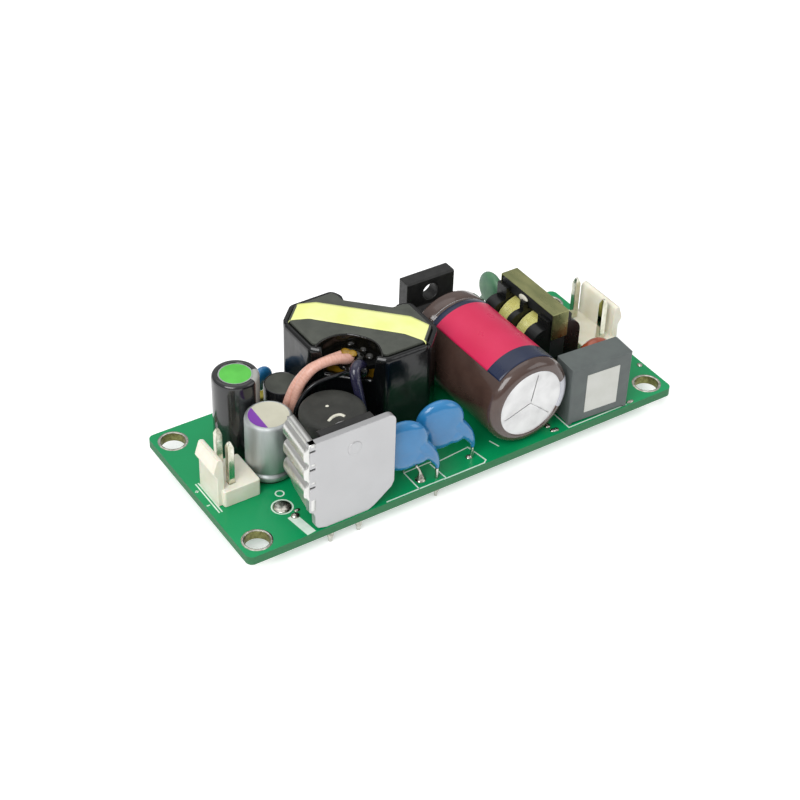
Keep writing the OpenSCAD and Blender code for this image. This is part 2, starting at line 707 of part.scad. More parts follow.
// Bare ends of the legs, from under each body to below the board
module part_legs() {
    color("silver") {
        for (p = can_feet) rod(p, tip, top + 1, wire_d);
        for (p = drum_feet) rod(p, tip, top, wire_d);
        for (p = bead_feet) rod(p, tip, top, wire_d);
        for (p = lead_feet) rod(p, tip, top, wire_d);
        for (p = yellow_feet) rod(p, tip, top + 0.2, wire_d);
        for (p = film_feet) rod(p, tip, top + 2, leg_d);
        for (i = [0, 1]) rod(disc_feet[i], tip, right_disc.z - disc_drop, wire_d);
        for (i = [2, 3]) rod(disc_feet[i], tip, left_disc.z - disc_drop, wire_d);
        for (p = varistor_feet) rod(p, tip, varistor_at.z - varistor_d / 2 - 0.6, wire_d);
        for (p = thermistor_feet) rod(p, tip, thermistor_at.z - thermistor_d / 2 - 0.6, wire_d);
        for (p = blue_feet) rod(p, tip, 7.4 - 2.6, wire_d);
    }
}

// ---- underside ----
// A moulded chip package with a row of bent legs on each long side
module chip(p, l, w, h, n, pitch) {
    translate([p.x, p.y, -h]) {
        block(l, w, h - 0.1, 0.1);
        for (i = [0 : n - 1], s = [-1, 1]) translate([(i - (n - 1) / 2) * pitch, s * w / 2, h / 2])
            rotate([90, 0, s > 0 ? 90 : -90]) translate([0, 0, -0.2]) linear_extrude(0.4)
                polygon([[-0.05, -0.1], [0.45, -0.1], [0.45, h / 2 - 0.15], [1, h / 2 - 0.15], [1, h / 2],
                    [0.3, h / 2], [0.3, 0.05], [-0.05, 0.05]]);
    }
}

module bridge_rectifier() { color([0.2, 0.2, 0.2]) chip([34.2, 1.6], 6.4, 5, 1.7, 2, 4.4); }

module controller_chip() { color([0.2, 0.2, 0.2]) chip([7.5, -2], 4.9, 3.9, 1.6, 4, 1.27); }

module optocoupler() { color([0.25, 0.25, 0.25]) chip([-6, -8.2], 4.4, 3.8, 1.8, 2, 2.54); }

module chip_resistors() {
    color([0.2, 0.2, 0.2]) for (p = [[14, -6], [14, -3.5], [14, -1], [1, -6], [1, -3.5], [-17.5, 14],
        [-14.5, 14], [27, -12.5], [27, -15.5]]) translate([p.x, p.y, -0.55]) block(2, 1.25, 0.55, 0.05);
}

module chip_capacitors() {
    color("tan") for (p = [[7.5, 3.5], [10.5, 3.5], [1.5, 1.5], [-33.5, 2.5], [-27, -9]])
        translate([p.x, p.y, -0.9]) block(2, 1.25, 0.9, 0.05);
}

board();
mounting_pads();
solder_joints();
output_header();
output_pins();
input_header();
input_pins();
filter_cap_can();
filter_cap_sleeve();
filter_cap_label();
polymer_cap_can();
polymer_cap_bung();
bulk_cap_can();
bulk_cap_sleeve();
bulk_cap_bung();
bulk_cap_label();
bulk_cap_legs();
transformer_core();
transformer_bobbin();
transformer_winding();
transformer_band();
transformer_tape();
transformer_pins();
secondary_leads();
primary_lead();
shield_lead();
heat_sink();
output_rectifier();
rectifier_legs();
rivet();
output_choke();
bead_choke_core();
bead_choke_winding();
bead_choke_sleeve();
right_disc_cap();
left_disc_cap();
film_cap();
film_cap_label();
varistor();
thermistor();
choke_bobbin();
choke_windings();
choke_core();
choke_clip();
choke_pins();
switch_transistor();
transistor_legs();
blue_cap();
yellow_cap();
part_legs();
bridge_rectifier();
controller_chip();
optocoupler();
chip_resistors();
chip_capacitors();
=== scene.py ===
import math

import bmesh
import bpy
import numpy as np
from mathutils import Matrix, Vector


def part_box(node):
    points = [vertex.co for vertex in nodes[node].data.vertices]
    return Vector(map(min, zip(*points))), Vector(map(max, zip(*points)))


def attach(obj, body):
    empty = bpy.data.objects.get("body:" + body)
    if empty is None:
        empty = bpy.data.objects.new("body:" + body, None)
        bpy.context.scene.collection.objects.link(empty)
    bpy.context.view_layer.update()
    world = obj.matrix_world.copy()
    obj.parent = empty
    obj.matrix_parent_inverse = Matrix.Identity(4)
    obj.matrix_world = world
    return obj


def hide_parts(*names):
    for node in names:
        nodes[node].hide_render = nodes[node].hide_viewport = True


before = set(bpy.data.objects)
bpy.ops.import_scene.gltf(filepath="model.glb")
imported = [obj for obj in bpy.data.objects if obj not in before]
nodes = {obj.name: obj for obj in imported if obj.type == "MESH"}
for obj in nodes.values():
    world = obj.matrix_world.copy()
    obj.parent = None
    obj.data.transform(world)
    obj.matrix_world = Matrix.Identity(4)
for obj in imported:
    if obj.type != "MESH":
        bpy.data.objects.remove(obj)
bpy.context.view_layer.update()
mm = 0.001
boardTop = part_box("board")[1].z
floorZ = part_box("output_pins")[0].z
print("frame loaded:", len(nodes), "nodes")


def boxMm(node):
    # low and high corner of a node in mm
    low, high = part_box(node)
    return np.array(low) / mm, np.array(high) / mm


def centreMm(node):
    # middle of a node: half the sum of its corners
    low, high = boxMm(node)
    return (low + high) / 2


# colour and materials
def colour(code, alpha=1.0):
    # sRGB hex to linear light
    channels = np.array([int(code[i:i + 2], 16) for i in (1, 3, 5)]) / 255
    lin = np.where(channels <= 0.04045, channels / 12.92, ((channels + 0.055) / 1.055) ** 2.4)
    return (*lin.tolist(), alpha)


def addNode(tree, kind, links=None, values=None, **settings):
    # links: input name or index -> output socket; values: input -> constant
    node = tree.nodes.new("ShaderNode" + kind)
    for key, value in settings.items():
        setattr(node, key, value)
    for key, value in (values or {}).items():
        node.inputs[key].default_value = value
    for key, socket in (links or {}).items():
        tree.links.new(socket, node.inputs[key])
    return node


def startMaterial(name, base, roughness=0.5, metallic=0.0, **sockets):
    # one surface shader with constants on its sockets, joined to the output
    mat = bpy.data.materials.new(name)
    mat.use_nodes = True
    tree = mat.node_tree
    tree.nodes.clear()
    shader = addNode(tree, "BsdfPrincipled",
                     values={"Base Color": colour(base), "Roughness": roughness, "Metallic": metallic,
                             **sockets})
    addNode(tree, "OutputMaterial", {"Surface": shader.outputs[0]})
    return mat, tree, shader


def objectPlace(tree, scale=(1, 1, 1), move=(0, 0, 0)):
    # object coordinates times scale, plus a move
    where = addNode(tree, "TexCoord")
    return addNode(tree, "Mapping", {"Vector": where.outputs["Object"]},
                   {"Scale": scale, "Location": move}).outputs[0]


def mottle(tree, shader, base, other, size, amount=1.0, place=None, detail=3.0, low=0.35, high=0.65):
    # soft patches between two colours, size in mm
    place = place or objectPlace(tree)
    noise = addNode(tree, "TexNoise", {"Vector": place}, {"Scale": 1 / (size * mm), "Detail": detail})
    ramp = addNode(tree, "MapRange", {"Value": noise.outputs[0]},
                   {"From Min": low, "From Max": high, "To Min": 0.0, "To Max": amount})
    mix = addNode(tree, "Mix", {"Factor": ramp.outputs[0]}, {"A": colour(base), "B": colour(other)},
                  data_type="RGBA")
    tree.links.new(mix.outputs["Result"], shader.inputs["Base Color"])
    return mix


def grainBump(tree, shader, size, depth, place=None, detail=2.0):
    # fine relief: size and depth in mm
    place = place or objectPlace(tree)
    noise = addNode(tree, "TexNoise", {"Vector": place}, {"Scale": 1 / (size * mm), "Detail": detail})
    bump = addNode(tree, "Bump", {"Height": noise.outputs[0]}, {"Distance": depth * mm, "Strength": 1.0})
    tree.links.new(bump.outputs[0], shader.inputs["Normal"])


def roughnessNoise(tree, shader, size, low, high, place=None):
    # roughness between low and high in soft patches, size in mm
    place = place or objectPlace(tree)
    noise = addNode(tree, "TexNoise", {"Vector": place}, {"Scale": 1 / (size * mm), "Detail": 3.0})
    span = addNode(tree, "MapRange", {"Value": noise.outputs[0]},
                   {"From Min": 0.3, "From Max": 0.7, "To Min": low, "To Max": high})
    tree.links.new(span.outputs[0], shader.inputs["Roughness"])


def plain(name, base, other, roughness, size=2.0, grain=None, **sockets):
    # two close colours in patches, roughness 0.85 to 1.2 times its mean, and a fine relief if given
    mat, tree, shader = startMaterial(name, base, roughness, **sockets)
    mottle(tree, shader, base, other, size)
    roughnessNoise(tree, shader, size * 0.6, roughness * 0.85, min(1, roughness * 1.2))
    if grain:
        grainBump(tree, shader, *grain)
    return mat


# solder mask: glossy green lacquer over the laminate, whose cut edge is duller and browner
def solderMask():
    mat, tree, shader = startMaterial("solderMask", "#069a62", 0.3, **{"Specular IOR Level": 0.35})
    place = objectPlace(tree)
    noise = addNode(tree, "TexNoise", {"Vector": place}, {"Scale": 1 / (11 * mm), "Detail": 2.0})
    cloudy = addNode(tree, "Mix", {"Factor": noise.outputs[0]},
                     {"A": colour("#038a50"), "B": colour("#069a5e")}, data_type="RGBA")
    facing = addNode(tree, "NewGeometry")
    parts = addNode(tree, "SeparateXYZ", {"Vector": facing.outputs["Normal"]})
    up = addNode(tree, "Math", {0: parts.outputs["Z"]}, operation="ABSOLUTE")
    flat = addNode(tree, "Math", {0: up.outputs[0]}, {1: 0.5}, operation="GREATER_THAN")
    layers = addNode(tree, "TexNoise", {"Vector": objectPlace(tree, scale=(1, 1, 8))},
                     {"Scale": 1 / (1.5 * mm)})
    edge = addNode(tree, "Mix", {"Factor": layers.outputs[0]},
                   {"A": colour("#1f6b42"), "B": colour("#3f7a52")}, data_type="RGBA")
    both = addNode(tree, "Mix", {"Factor": flat.outputs[0], "A": edge.outputs["Result"],
                                          "B": cloudy.outputs["Result"]}, data_type="RGBA")
    tree.links.new(both.outputs["Result"], shader.inputs["Base Color"])
    rough = addNode(tree, "MapRange", {"Value": flat.outputs[0]}, {"To Min": 0.6, "To Max": 0.3})
    tree.links.new(rough.outputs[0], shader.inputs["Roughness"])
    weave = addNode(tree, "TexNoise", {"Vector": place}, {"Scale": 1 / (0.9 * mm), "Detail": 1.0})
    relief = addNode(tree, "Bump", {"Height": weave.outputs[0]}, {"Distance": 0.004 * mm, "Strength": 1.0})
    tree.links.new(relief.outputs[0], shader.inputs["Normal"])
    return mat


# part of a turn between two angles round an axis at (x, z or y), 1 inside and 0 outside
def turnBand(tree, centre, plane, fromDeg, toDeg):
    parts = addNode(tree, "SeparateXYZ", {"Vector": objectPlace(tree, move=[-c * mm for c in centre])})
    angle = addNode(tree, "Math", {0: parts.outputs[plane[1]], 1: parts.outputs[plane[0]]},
                    operation="ARCTAN2")
    over = addNode(tree, "Math", {0: angle.outputs[0]}, {1: math.radians(fromDeg)},
                   operation="GREATER_THAN")
    under = addNode(tree, "Math", {0: angle.outputs[0]}, {1: math.radians(toDeg)}, operation="LESS_THAN")
    return addNode(tree, "Math", {0: over.outputs[0], 1: under.outputs[0]}, operation="MULTIPLY").outputs[0]


# shrunk film with one printed stripe along the can
def stripedFilm(name, base, other, stripe, centre, plane, fromDeg, toDeg, roughness, **sockets):
    mat, tree, shader = startMaterial(name, base, roughness, **sockets)
    mix = mottle(tree, shader, base, other, 3)
    band = turnBand(tree, centre, plane, fromDeg, toDeg)
    printed = addNode(tree, "Mix", {"Factor": band, "A": mix.outputs["Result"]}, {"B": colour(stripe)},
                      data_type="RGBA")
    tree.links.new(printed.outputs["Result"], shader.inputs["Base Color"])
    roughnessNoise(tree, shader, 2.0, roughness * 0.8, roughness * 1.2)
    grainBump(tree, shader, 2.2, 0.02)
    return mat


# can top printed cream, with one coloured segment on its edge
def printedTop(name, centre, toward, depth):
    mat, tree, shader = startMaterial(name, "#d8d6c2", 0.45)
    parts = addNode(tree, "SeparateXYZ", {"Vector": objectPlace(tree, move=(-centre[0] * mm,
            -centre[1] * mm, 0))})
    a = math.radians(toward)
    alongX = addNode(tree, "Math", {0: parts.outputs["X"]}, {1: math.cos(a)}, operation="MULTIPLY")
    reach = addNode(tree, "Math", {0: parts.outputs["Y"], 2: alongX.outputs[0]}, {1: math.sin(a)},
                    operation="MULTIPLY_ADD")
    segment = addNode(tree, "Math", {0: reach.outputs[0]}, {1: depth * mm}, operation="GREATER_THAN")
    noise = addNode(tree, "TexNoise", {"Vector": objectPlace(tree)},
                    {"Scale": 1 / (1.2 * mm), "Detail": 3.0})
    cream = addNode(tree, "Mix", {"Factor": noise.outputs[0]},
                    {"A": colour("#bfbda9"), "B": colour("#cbc9b6")}, data_type="RGBA")
    shown = addNode(tree, "Mix", {"Factor": segment.outputs[0], "A": cream.outputs["Result"]},
                    {"B": colour("#7a37a4")}, data_type="RGBA")
    tree.links.new(shown.outputs["Result"], shader.inputs["Base Color"])
    grainBump(tree, shader, 0.5, 0.004)
    return mat


# fibre sleeve: fine diagonal strands round the tube, by the tube's own UV map
def fibreSleeve(name, base, other, roughness, turns, **sockets):
    mat, tree, shader = startMaterial(name, base, roughness, **sockets)
    where = addNode(tree, "UVMap", uv_map="UVMap")
    place = addNode(tree, "Mapping", {"Vector": where.outputs[0]},
                    {"Rotation": (0, 0, math.radians(18)), "Scale": (turns, 1.4, 1)})
    noise = addNode(tree, "TexNoise", {"Vector": place.outputs[0]}, {"Scale": 3.0, "Detail": 3.0})
    mix = addNode(tree, "Mix", {"Factor": noise.outputs[0]}, {"A": colour(base), "B": colour(other)},
                  data_type="RGBA")
    tree.links.new(mix.outputs["Result"], shader.inputs["Base Color"])
    bump = addNode(tree, "Bump", {"Height": noise.outputs[0]}, {"Distance": 0.05 * mm, "Strength": 1.0})
    tree.links.new(bump.outputs[0], shader.inputs["Normal"])
    return mat


def metal(name, base, other, roughness, size, grain, spread=(0.7, 1.4)):
    # bare metal: roughness varies by the two factors of spread
    mat, tree, shader = startMaterial(name, base, roughness, 1.0)
    mottle(tree, shader, base, other, size)
    roughnessNoise(tree, shader, size * 0.5, roughness * spread[0], roughness * spread[1])
    grainBump(tree, shader, *grain)
    return mat


# drawn sheet: rolling lines along the sheet
def rolledSheet(name, base, other, roughness, scale):
    mat, tree, shader = startMaterial(name, base, roughness, 1.0)
    place = objectPlace(tree, scale=scale)
    mottle(tree, shader, base, other, 1.6, place=place)
    roughnessNoise(tree, shader, 1.0, roughness * 0.8, roughness * 1.25, place)
    grainBump(tree, shader, 0.6, 0.006, place)
    return mat


coat = {"Coat Weight": 0.5, "Coat Roughness": 0.06}
dull = {"Specular IOR Level": 0.35}
ink = {
    # screen-printed ink: flat, slightly green white
    "silk": plain("silkInk", "#dfeee2", "#cbe3d3", 0.6),
    # lacquer over laminate: glossy green, duller at the cut edge
    "mask": solderMask(),
    # reflowed solder: bright with soft dents
    "solder": metal("solder", "#cfcdc4", "#97958a", 0.2, 0.8, (0.6, 0.05)),
    # plated hole wall seen in shade: dull and yellowish
    "barrel": metal("dullPlatedBarrel", "#8f8f5c", "#6e6d45", 0.45, 0.9, (0.3, 0.03)),
    # drawn and tinned wire: bright, faintly uneven
    "tin": metal("tinnedWire", "#cfcfca", "#b2b2a8", 0.2, 1.2, (0.5, 0.01)),
    "tinPin": metal("tinnedPin", "#dfdfd2", "#c3c3ae", 0.12, 1.5, (0.6, 0.004)),
    # moulded nylon: warm white with light inside it
    "nylon": plain("nylonMoulding", "#eeebdc", "#e6e2cf", 0.4, 3, grain=(0.5, 0.006),
                   **{"Subsurface Weight": 0.15, "Subsurface Scale": 0.6 * mm}),
    # drawn aluminium: soft grey streaks along the can
    "canMetal": rolledSheet("drawnCan", "#bfc4c4", "#b4b9b8", 0.55, (1, 1, 0.2)),
    "capFace": metal("cleanAluminium", "#d9d9d9", "#d2d2d2", 0.5, 5, (0.4, 0.002)),
    # blanked aluminium: even and pale, no mottle
    "sheet": metal("blankSheetAluminium", "#bebebf", "#bbbbbc", 0.5, 9, (0.3, 0.001), (0.97, 1.03)),
    # the wing's copy of the plate's sheet aluminium, painted lighter than the plate: painted light on the
    # wing's side, which faces the key lamp; the plate's copy above is the darker one
    "pressed": metal("pressedAluminiumPaintedLit", "#d9d9d6", "#d3d3d0", 0.3, 4, (2.4, 0.003), (0.9, 1.1)),
    # moulded rubber: flat black
    "rubber": plain("sealRubber", "#191a1b", "#212223", 0.65, 1),
    # shrunk film: near black with sharp highlights
    "blackFilm": plain("shrunkBlackFilm", "#121316", "#17181b", 0.2, 3, grain=(1.5, 0.02)),
    # moulded epoxy: matt black, fine grit
    "epoxy": plain("mouldedEpoxy", "#1a1a1a", "#232322", 0.42, 1.2, grain=(0.25, 0.012),
                   **{"Specular IOR Level": 0.4}),
    # ground ferrite: dull warm grey
    "ferrite": plain("groundFerrite", "#50534c", "#464943", 0.55, 2.5, grain=(0.3, 0.01), **dull),
    "darkFerrite": plain("darkFerrite", "#26282a", "#1d1f20", 0.45, 2.5, grain=(0.3, 0.01)),
    # moulded phenolic: deep even black
    "bobbin": plain("bobbinMoulding", "#0d0e0e", "#131414", 0.3, 2, **{"Specular IOR Level": 0.4}),
    # wrapped film tape: black with wavy highlights
    "blackTape": plain("blackFilmTape", "#0c0e10", "#090a0b", 0.16, 6, grain=(3.5, 0.1)),
    # dripped varnish: wet black
    "varnish": plain("drippedVarnish", "#0a0a09", "#14130e", 0.08, 1, grain=(0.5, 0.04)),
    # polyester tape: pale lemon, slightly waxy
    "yellowTape": plain("yellowPolyesterTape", "#ecf294", "#eff3a8", 0.4, 4, grain=(2.5, 0.02)),
    # enamelled wire under tape: pale straw
    "coilWire": plain("paleEnamelledWire", "#dcd98c", "#cfc974", 0.22, 1.5, grain=(0.8, 0.02)),
    # thin polyimide film: glossy amber brown
    "amber": plain("amberFilm", "#a07c1c", "#7a5a10", 0.2, 1.2, grain=(0.8, 0.04)),
    # varnished fibre sleeves: strands round the lead
    "pink": fibreSleeve("pinkFibreSleeve", "#c58463", "#ecc4ba", 0.35, 2),
    "dark": fibreSleeve("darkShinySleeve", "#15142a", "#2c2b45", 0.08, 1, **coat),
    # enamelled copper: warm brown shine
    "copper": metal("enamelledCopper", "#b0703c", "#8a4f24", 0.25, 0.6, (0.3, 0.03)),
    # pot cover: matt dark grey
    "choke": plain("potCover", "#373834", "#2f302d", 0.55, 2.5, grain=(0.4, 0.01), **dull),
    # dipped phenolic: waxy blue under a clear coat
    "blue": plain("bluePhenolicDip", "#2a7bb2", "#2675ab", 0.18, 3, grain=(1.6, 0.02), **coat),
    # moulded case: matt slate grey
    "greyCase": plain("greyCaseMoulding", "#5f6664", "#5a605f", 0.5, 3, grain=(0.3, 0.008), **dull),
    # printed paper labels: flat and even
    "label": plain("whiteLabel", "#cfd0ca", "#c9cac3", 0.45, 3),
    "green": plain("greenLabelPaper", "#53b943", "#5cc44b", 0.5, 2),
    # dipped coatings: glossy and a little lumpy
    "red": plain("redBrownDip", "#8a3a20", "#a04a2c", 0.22, 1.5, grain=(0.9, 0.03), **coat),
    "ntc": plain("greenDip", "#47735a", "#54825f", 0.4, 1.5, grain=(0.9, 0.03)),
    # passivated steel: yellowish with rolling lines
    "clip": rolledSheet("yellowPassivatedSteel", "#a6a776", "#8d9266", 0.3, (1, 0.3, 1)),
    # moulded case: plain mustard
    "yellowCase": plain("yellowCase", "#cfc04a", "#c2b23e", 0.4, 1.5),
    # fired ceramic: dry tan
    "tan": plain("firedCeramic", "#a08462", "#8c7253", 0.5, 0.8),
    # shrunk sleeves with one stripe: glossy with soft ripples
    "brown": stripedFilm("brownShrinkFilm", "#4d3a33", "#44322c", "#b9bac2", (11.85, 0, 9.95), ("X", "Z"),
                         -27, 20, 0.2, **coat),
    "cap": stripedFilm("blackShrinkFilm", "#17181a", "#1c1e20", "#a3a49f", (-31.15, 7.7, 0), ("X", "Y"),
                       -63, -12, 0.2, **coat),
    # printed can top: cream with a violet segment
    "polyTop": printedTop("printedCanTop", (-29.7, -0.7), 178, 1.65),
    # printed films: even colour, soft shine
    "magenta": plain("magentaFilm", "#cc2450", "#d12b57", 0.3, 6, grain=(4, 0.01), **dull),
    "navy": plain("navyFilm", "#16203a", "#1b2744", 0.3, 6),
    # off-white blobs painted on as highlights: the arc and dot on the drum choke's top and the glint over
    # the wound choke's winding
    "glue": plain("paleHighlightBlobs", "#dcdacb", "#cfcdbd", 0.3, 0.8, grain=(0.5, 0.04)),
}

# CAD nodes by finish
nodesOf = {
    "mask": "board",
    "solder": "mounting_pads solder_joints",
    "nylon": "output_header input_header",
    "tinPin": "output_pins input_pins",
    "canMetal": "filter_cap_can polymer_cap_can",
    "cap": "filter_cap_sleeve",
    "green": "filter_cap_label",
    "rubber": "polymer_cap_bung bulk_cap_bung",
    "capFace": "bulk_cap_can",
    "brown": "bulk_cap_sleeve",
    "magenta": "bulk_cap_label",
    "tin": "bulk_cap_legs transformer_pins rectifier_legs choke_pins transistor_legs part_legs",
    "ferrite": "transformer_core bead_choke_core",
    "bobbin": "transformer_bobbin choke_bobbin",
    "amber": "transformer_winding",
    "blackTape": "transformer_band",
    "yellowTape": "transformer_tape",
    "pink": "secondary_leads",
    "dark": "primary_lead",
    "blackFilm": "shield_lead bead_choke_sleeve",
    "sheet": "heat_sink rivet",
    "epoxy": "output_rectifier switch_transistor bridge_rectifier controller_chip optocoupler "
             "chip_resistors",
    "choke": "output_choke",
    "copper": "bead_choke_winding",
    "blue": "right_disc_cap left_disc_cap blue_cap",
    "greyCase": "film_cap",
    "label": "film_cap_label",
    "red": "varistor",
    "ntc": "thermistor",
    "coilWire": "choke_windings",
    "darkFerrite": "choke_core",
    "clip": "choke_clip",
    "yellowCase": "yellow_cap",
    "tan": "chip_capacitors",
}
finishes = {node: finish for finish, group in nodesOf.items() for node in group.split()}
for nodeName, finish in finishes.items():
    meshData = nodes[nodeName].data
    meshData.materials.clear()
    meshData.materials.append(ink[finish])
print("materials ready:", len(ink))


# making pieces
def addObject(name, data):
    # new object in the scene, at the origin
    obj = bpy.data.objects.new(name, data)
    bpy.context.scene.collection.objects.link(obj)
    return obj


def finishPiece(obj, mats, replaces=None, slotFrom=None, smooth=True, angle=35):
    # materials, smooth faces with sharp edges over the angle, then body and replaced node; slotFrom is not
    # used
    for mat in ([mats] if isinstance(mats, str) else mats):
        obj.data.materials.append(ink[mat])
    obj.data.polygons.foreach_set("use_smooth", np.full(len(obj.data.polygons), smooth))
    if smooth and angle:
        obj.data.set_sharp_from_angle(angle=math.radians(angle))
    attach(obj, "root")
    if replaces:
        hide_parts(replaces)
    return obj


def pieceFrom(name, verts, faces, mats, **options):
    # verts in mm as an array, faces as arrays of indices
    data = bpy.data.meshes.new(name)
    data.from_pydata((np.asarray(verts, float) * mm).tolist(), [], [list(f) for f in faces])
    data.update()
    return finishPiece(addObject(name, data), mats, **options)


def gridFaces(rows, cols, closeRows=False, closeCols=False, start=0):
    # quads of a rows x cols grid of points, wrapped round where it is closed
    i = np.arange(rows if closeRows else rows - 1)[:, None]
    j = np.arange(cols if closeCols else cols - 1)[None, :]
    i2, j2 = (i + 1) % rows, (j + 1) % cols
    return (start + np.stack([i * cols + j, i * cols + j2, i2 * cols + j2, i2 * cols + j], -1)).reshape(-1,
            4)


def revolved(profile, count=96):
    # profile rows (r, z): x = r cos t, y = r sin t; the first and last r are 0, and become one point each
    profile = np.asarray(profile, float)
    t = np.linspace(0, 2 * np.pi, count, endpoint=False)
    ring = profile[1:-1]
    body = np.stack([np.outer(ring[:, 0], np.cos(t)), np.outer(ring[:, 0], np.sin(t)),
                     np.repeat(ring[:, 1:2], count, 1)], -1).reshape(-1, 3)
    verts = np.vstack([body, [[0, 0, profile[0, 1]], [0, 0, profile[-1, 1]]]])
    j = np.arange(count)
    quads = gridFaces(len(ring), count, closeCols=True)
    last = (len(ring) - 1) * count
    bottom = np.stack([(j + 1) % count, j, np.full(count, len(body))], -1)
    topFan = np.stack([last + j, last + (j + 1) % count, np.full(count, len(body) + 1)], -1)
    return verts, [*quads.tolist(), *bottom.tolist(), *topFan.tolist()]


def arcPoints(cx, cz, r, fromDeg, toDeg, count=6):
    # centre plus r (cos a, sin a) between two angles
    a = np.radians(np.linspace(fromDeg, toDeg, count))
    return np.stack([cx + r * np.cos(a), cz + r * np.sin(a)], -1)


softening = {"weld": 2e-6, "flatDeg": 0.6, "edgeDeg": 30}


def softened(name, node, width, segments):
    # copy of a solid with flat neighbours merged and edges over a limit rounded, width in mm
    data = nodes[node].data.copy()
    data.materials.clear()
    mesh = bmesh.new()
    mesh.from_mesh(data)
    bmesh.ops.remove_doubles(mesh, verts=mesh.verts, dist=softening["weld"])
    bmesh.ops.dissolve_limit(mesh, angle_limit=math.radians(softening["flatDeg"]), verts=mesh.verts,
            edges=mesh.edges)
    mesh.to_mesh(data)
    mesh.free()
    for attribute in ("custom_normal", "sharp_edge"):
        if attribute in data.attributes:
            data.attributes.remove(data.attributes[attribute])
    obj = addObject(name, data)
    finishPiece(obj, finishes[node], replaces=node, angle=None)
    bevel = obj.modifiers.new("roundEdges", "BEVEL")
    bevel.width = width * mm
    bevel.segments = segments
    bevel.limit_method = "ANGLE"
    bevel.angle_limit = math.radians(softening["edgeDeg"])
    bevel.harden_normals = True
    bevel.use_clamp_overlap = True
    return obj


def smoothPath(points, steps=8):
    # Catmull-Rom curve through the points
    p = np.asarray(points, float)
    p = np.vstack([2 * p[0] - p[1], p, 2 * p[-1] - p[-2]])
    t = np.linspace(0, 1, steps, endpoint=False)[None, :, None]
    a, b, c, d = (p[i:len(p) - 3 + i, None, :] for i in range(4))
    curve = 0.5 * (2 * b + (c - a) * t + (2 * a - 5 * b + 4 * c - d) * t ** 2
                   + (3 * b - a - 3 * c + d) * t ** 3)
    return np.vstack([curve.reshape(-1, p.shape[1]), p[-2:-1]])


def tube(path, radius, sides=16):
    # circle of the given radius carried along the path, in a frame kept level with the start
    path = np.asarray(path, float)
    tangent = np.gradient(path, axis=0)
    tangent /= np.linalg.norm(tangent, axis=1)[:, None]
    reference = np.array([0.31, 0.92, 0.24])
    side = np.cross(tangent, reference)
    side /= np.linalg.norm(side, axis=1)[:, None]
    up = np.cross(tangent, side)
    radius = np.broadcast_to(radius, len(path))[:, None, None]
    a = np.linspace(0, 2 * np.pi, sides, endpoint=False)[None, :]
    ring = path[:, None] + radius * (np.cos(a)[..., None] * side[:, None] + np.sin(a)[..., None] * up[:,
            None])
    verts = np.vstack([ring.reshape(-1, 3), path[:1], path[-1:]])
    n = len(path) * sides
    j = np.arange(sides)
    faces = gridFaces(len(path), sides, closeCols=True).tolist()
    faces += np.stack([(j + 1) % sides, j, np.full(sides, n)], -1).tolist()
    faces += np.stack([j + n - sides, (j + 1) % sides + n - sides, np.full(sides, n + 1)], -1).tolist()
    return verts, faces


def joined(parts):
    # several shapes as one: each face index is moved by the points before it
    verts, faces, start = [], [], 0
    for v, f in parts:
        verts.append(v)
        faces += [[start + k for k in face] for face in f]
        start += len(v)
    return np.vstack(verts), faces


# camera, floor, lights
view = {"azimuth": -34.257, "elevation": 38.003, "roll": 2.042, "distance": 308.8,
        "aim": (-3.582, -0.197, 5.713), "lens": 80.73}


def placeCamera():
    # back = (sin az cos el, -cos az cos el, sin el); place = aim + distance * back, then the roll
    az, el, roll = (math.radians(view[k]) for k in ("azimuth", "elevation", "roll"))
    back = Vector((math.sin(az) * math.cos(el), -math.cos(az) * math.cos(el), math.sin(el)))
    right = Vector((0, 0, 1)).cross(back).normalized()
    up = back.cross(right)
    r = right * math.cos(roll) + up * math.sin(roll)
    u = up * math.cos(roll) - right * math.sin(roll)
    cam = bpy.data.cameras.new("camera")
    cam.lens, cam.sensor_width, cam.clip_start, cam.clip_end = view["lens"], 36, 0.01, 20
    obj = addObject("camera", cam)
    turn = Matrix((r, u, back)).transposed().to_4x4()
    obj.matrix_world = Matrix.Translation(Vector(view["aim"]) * mm + back * view["distance"] * mm) @ turn
    bpy.context.scene.camera = obj


placeCamera()

studio = {"world": 0.75, "horizon": 0.3, "key": 4.2, "fill": 0.9, "top": 1.0}


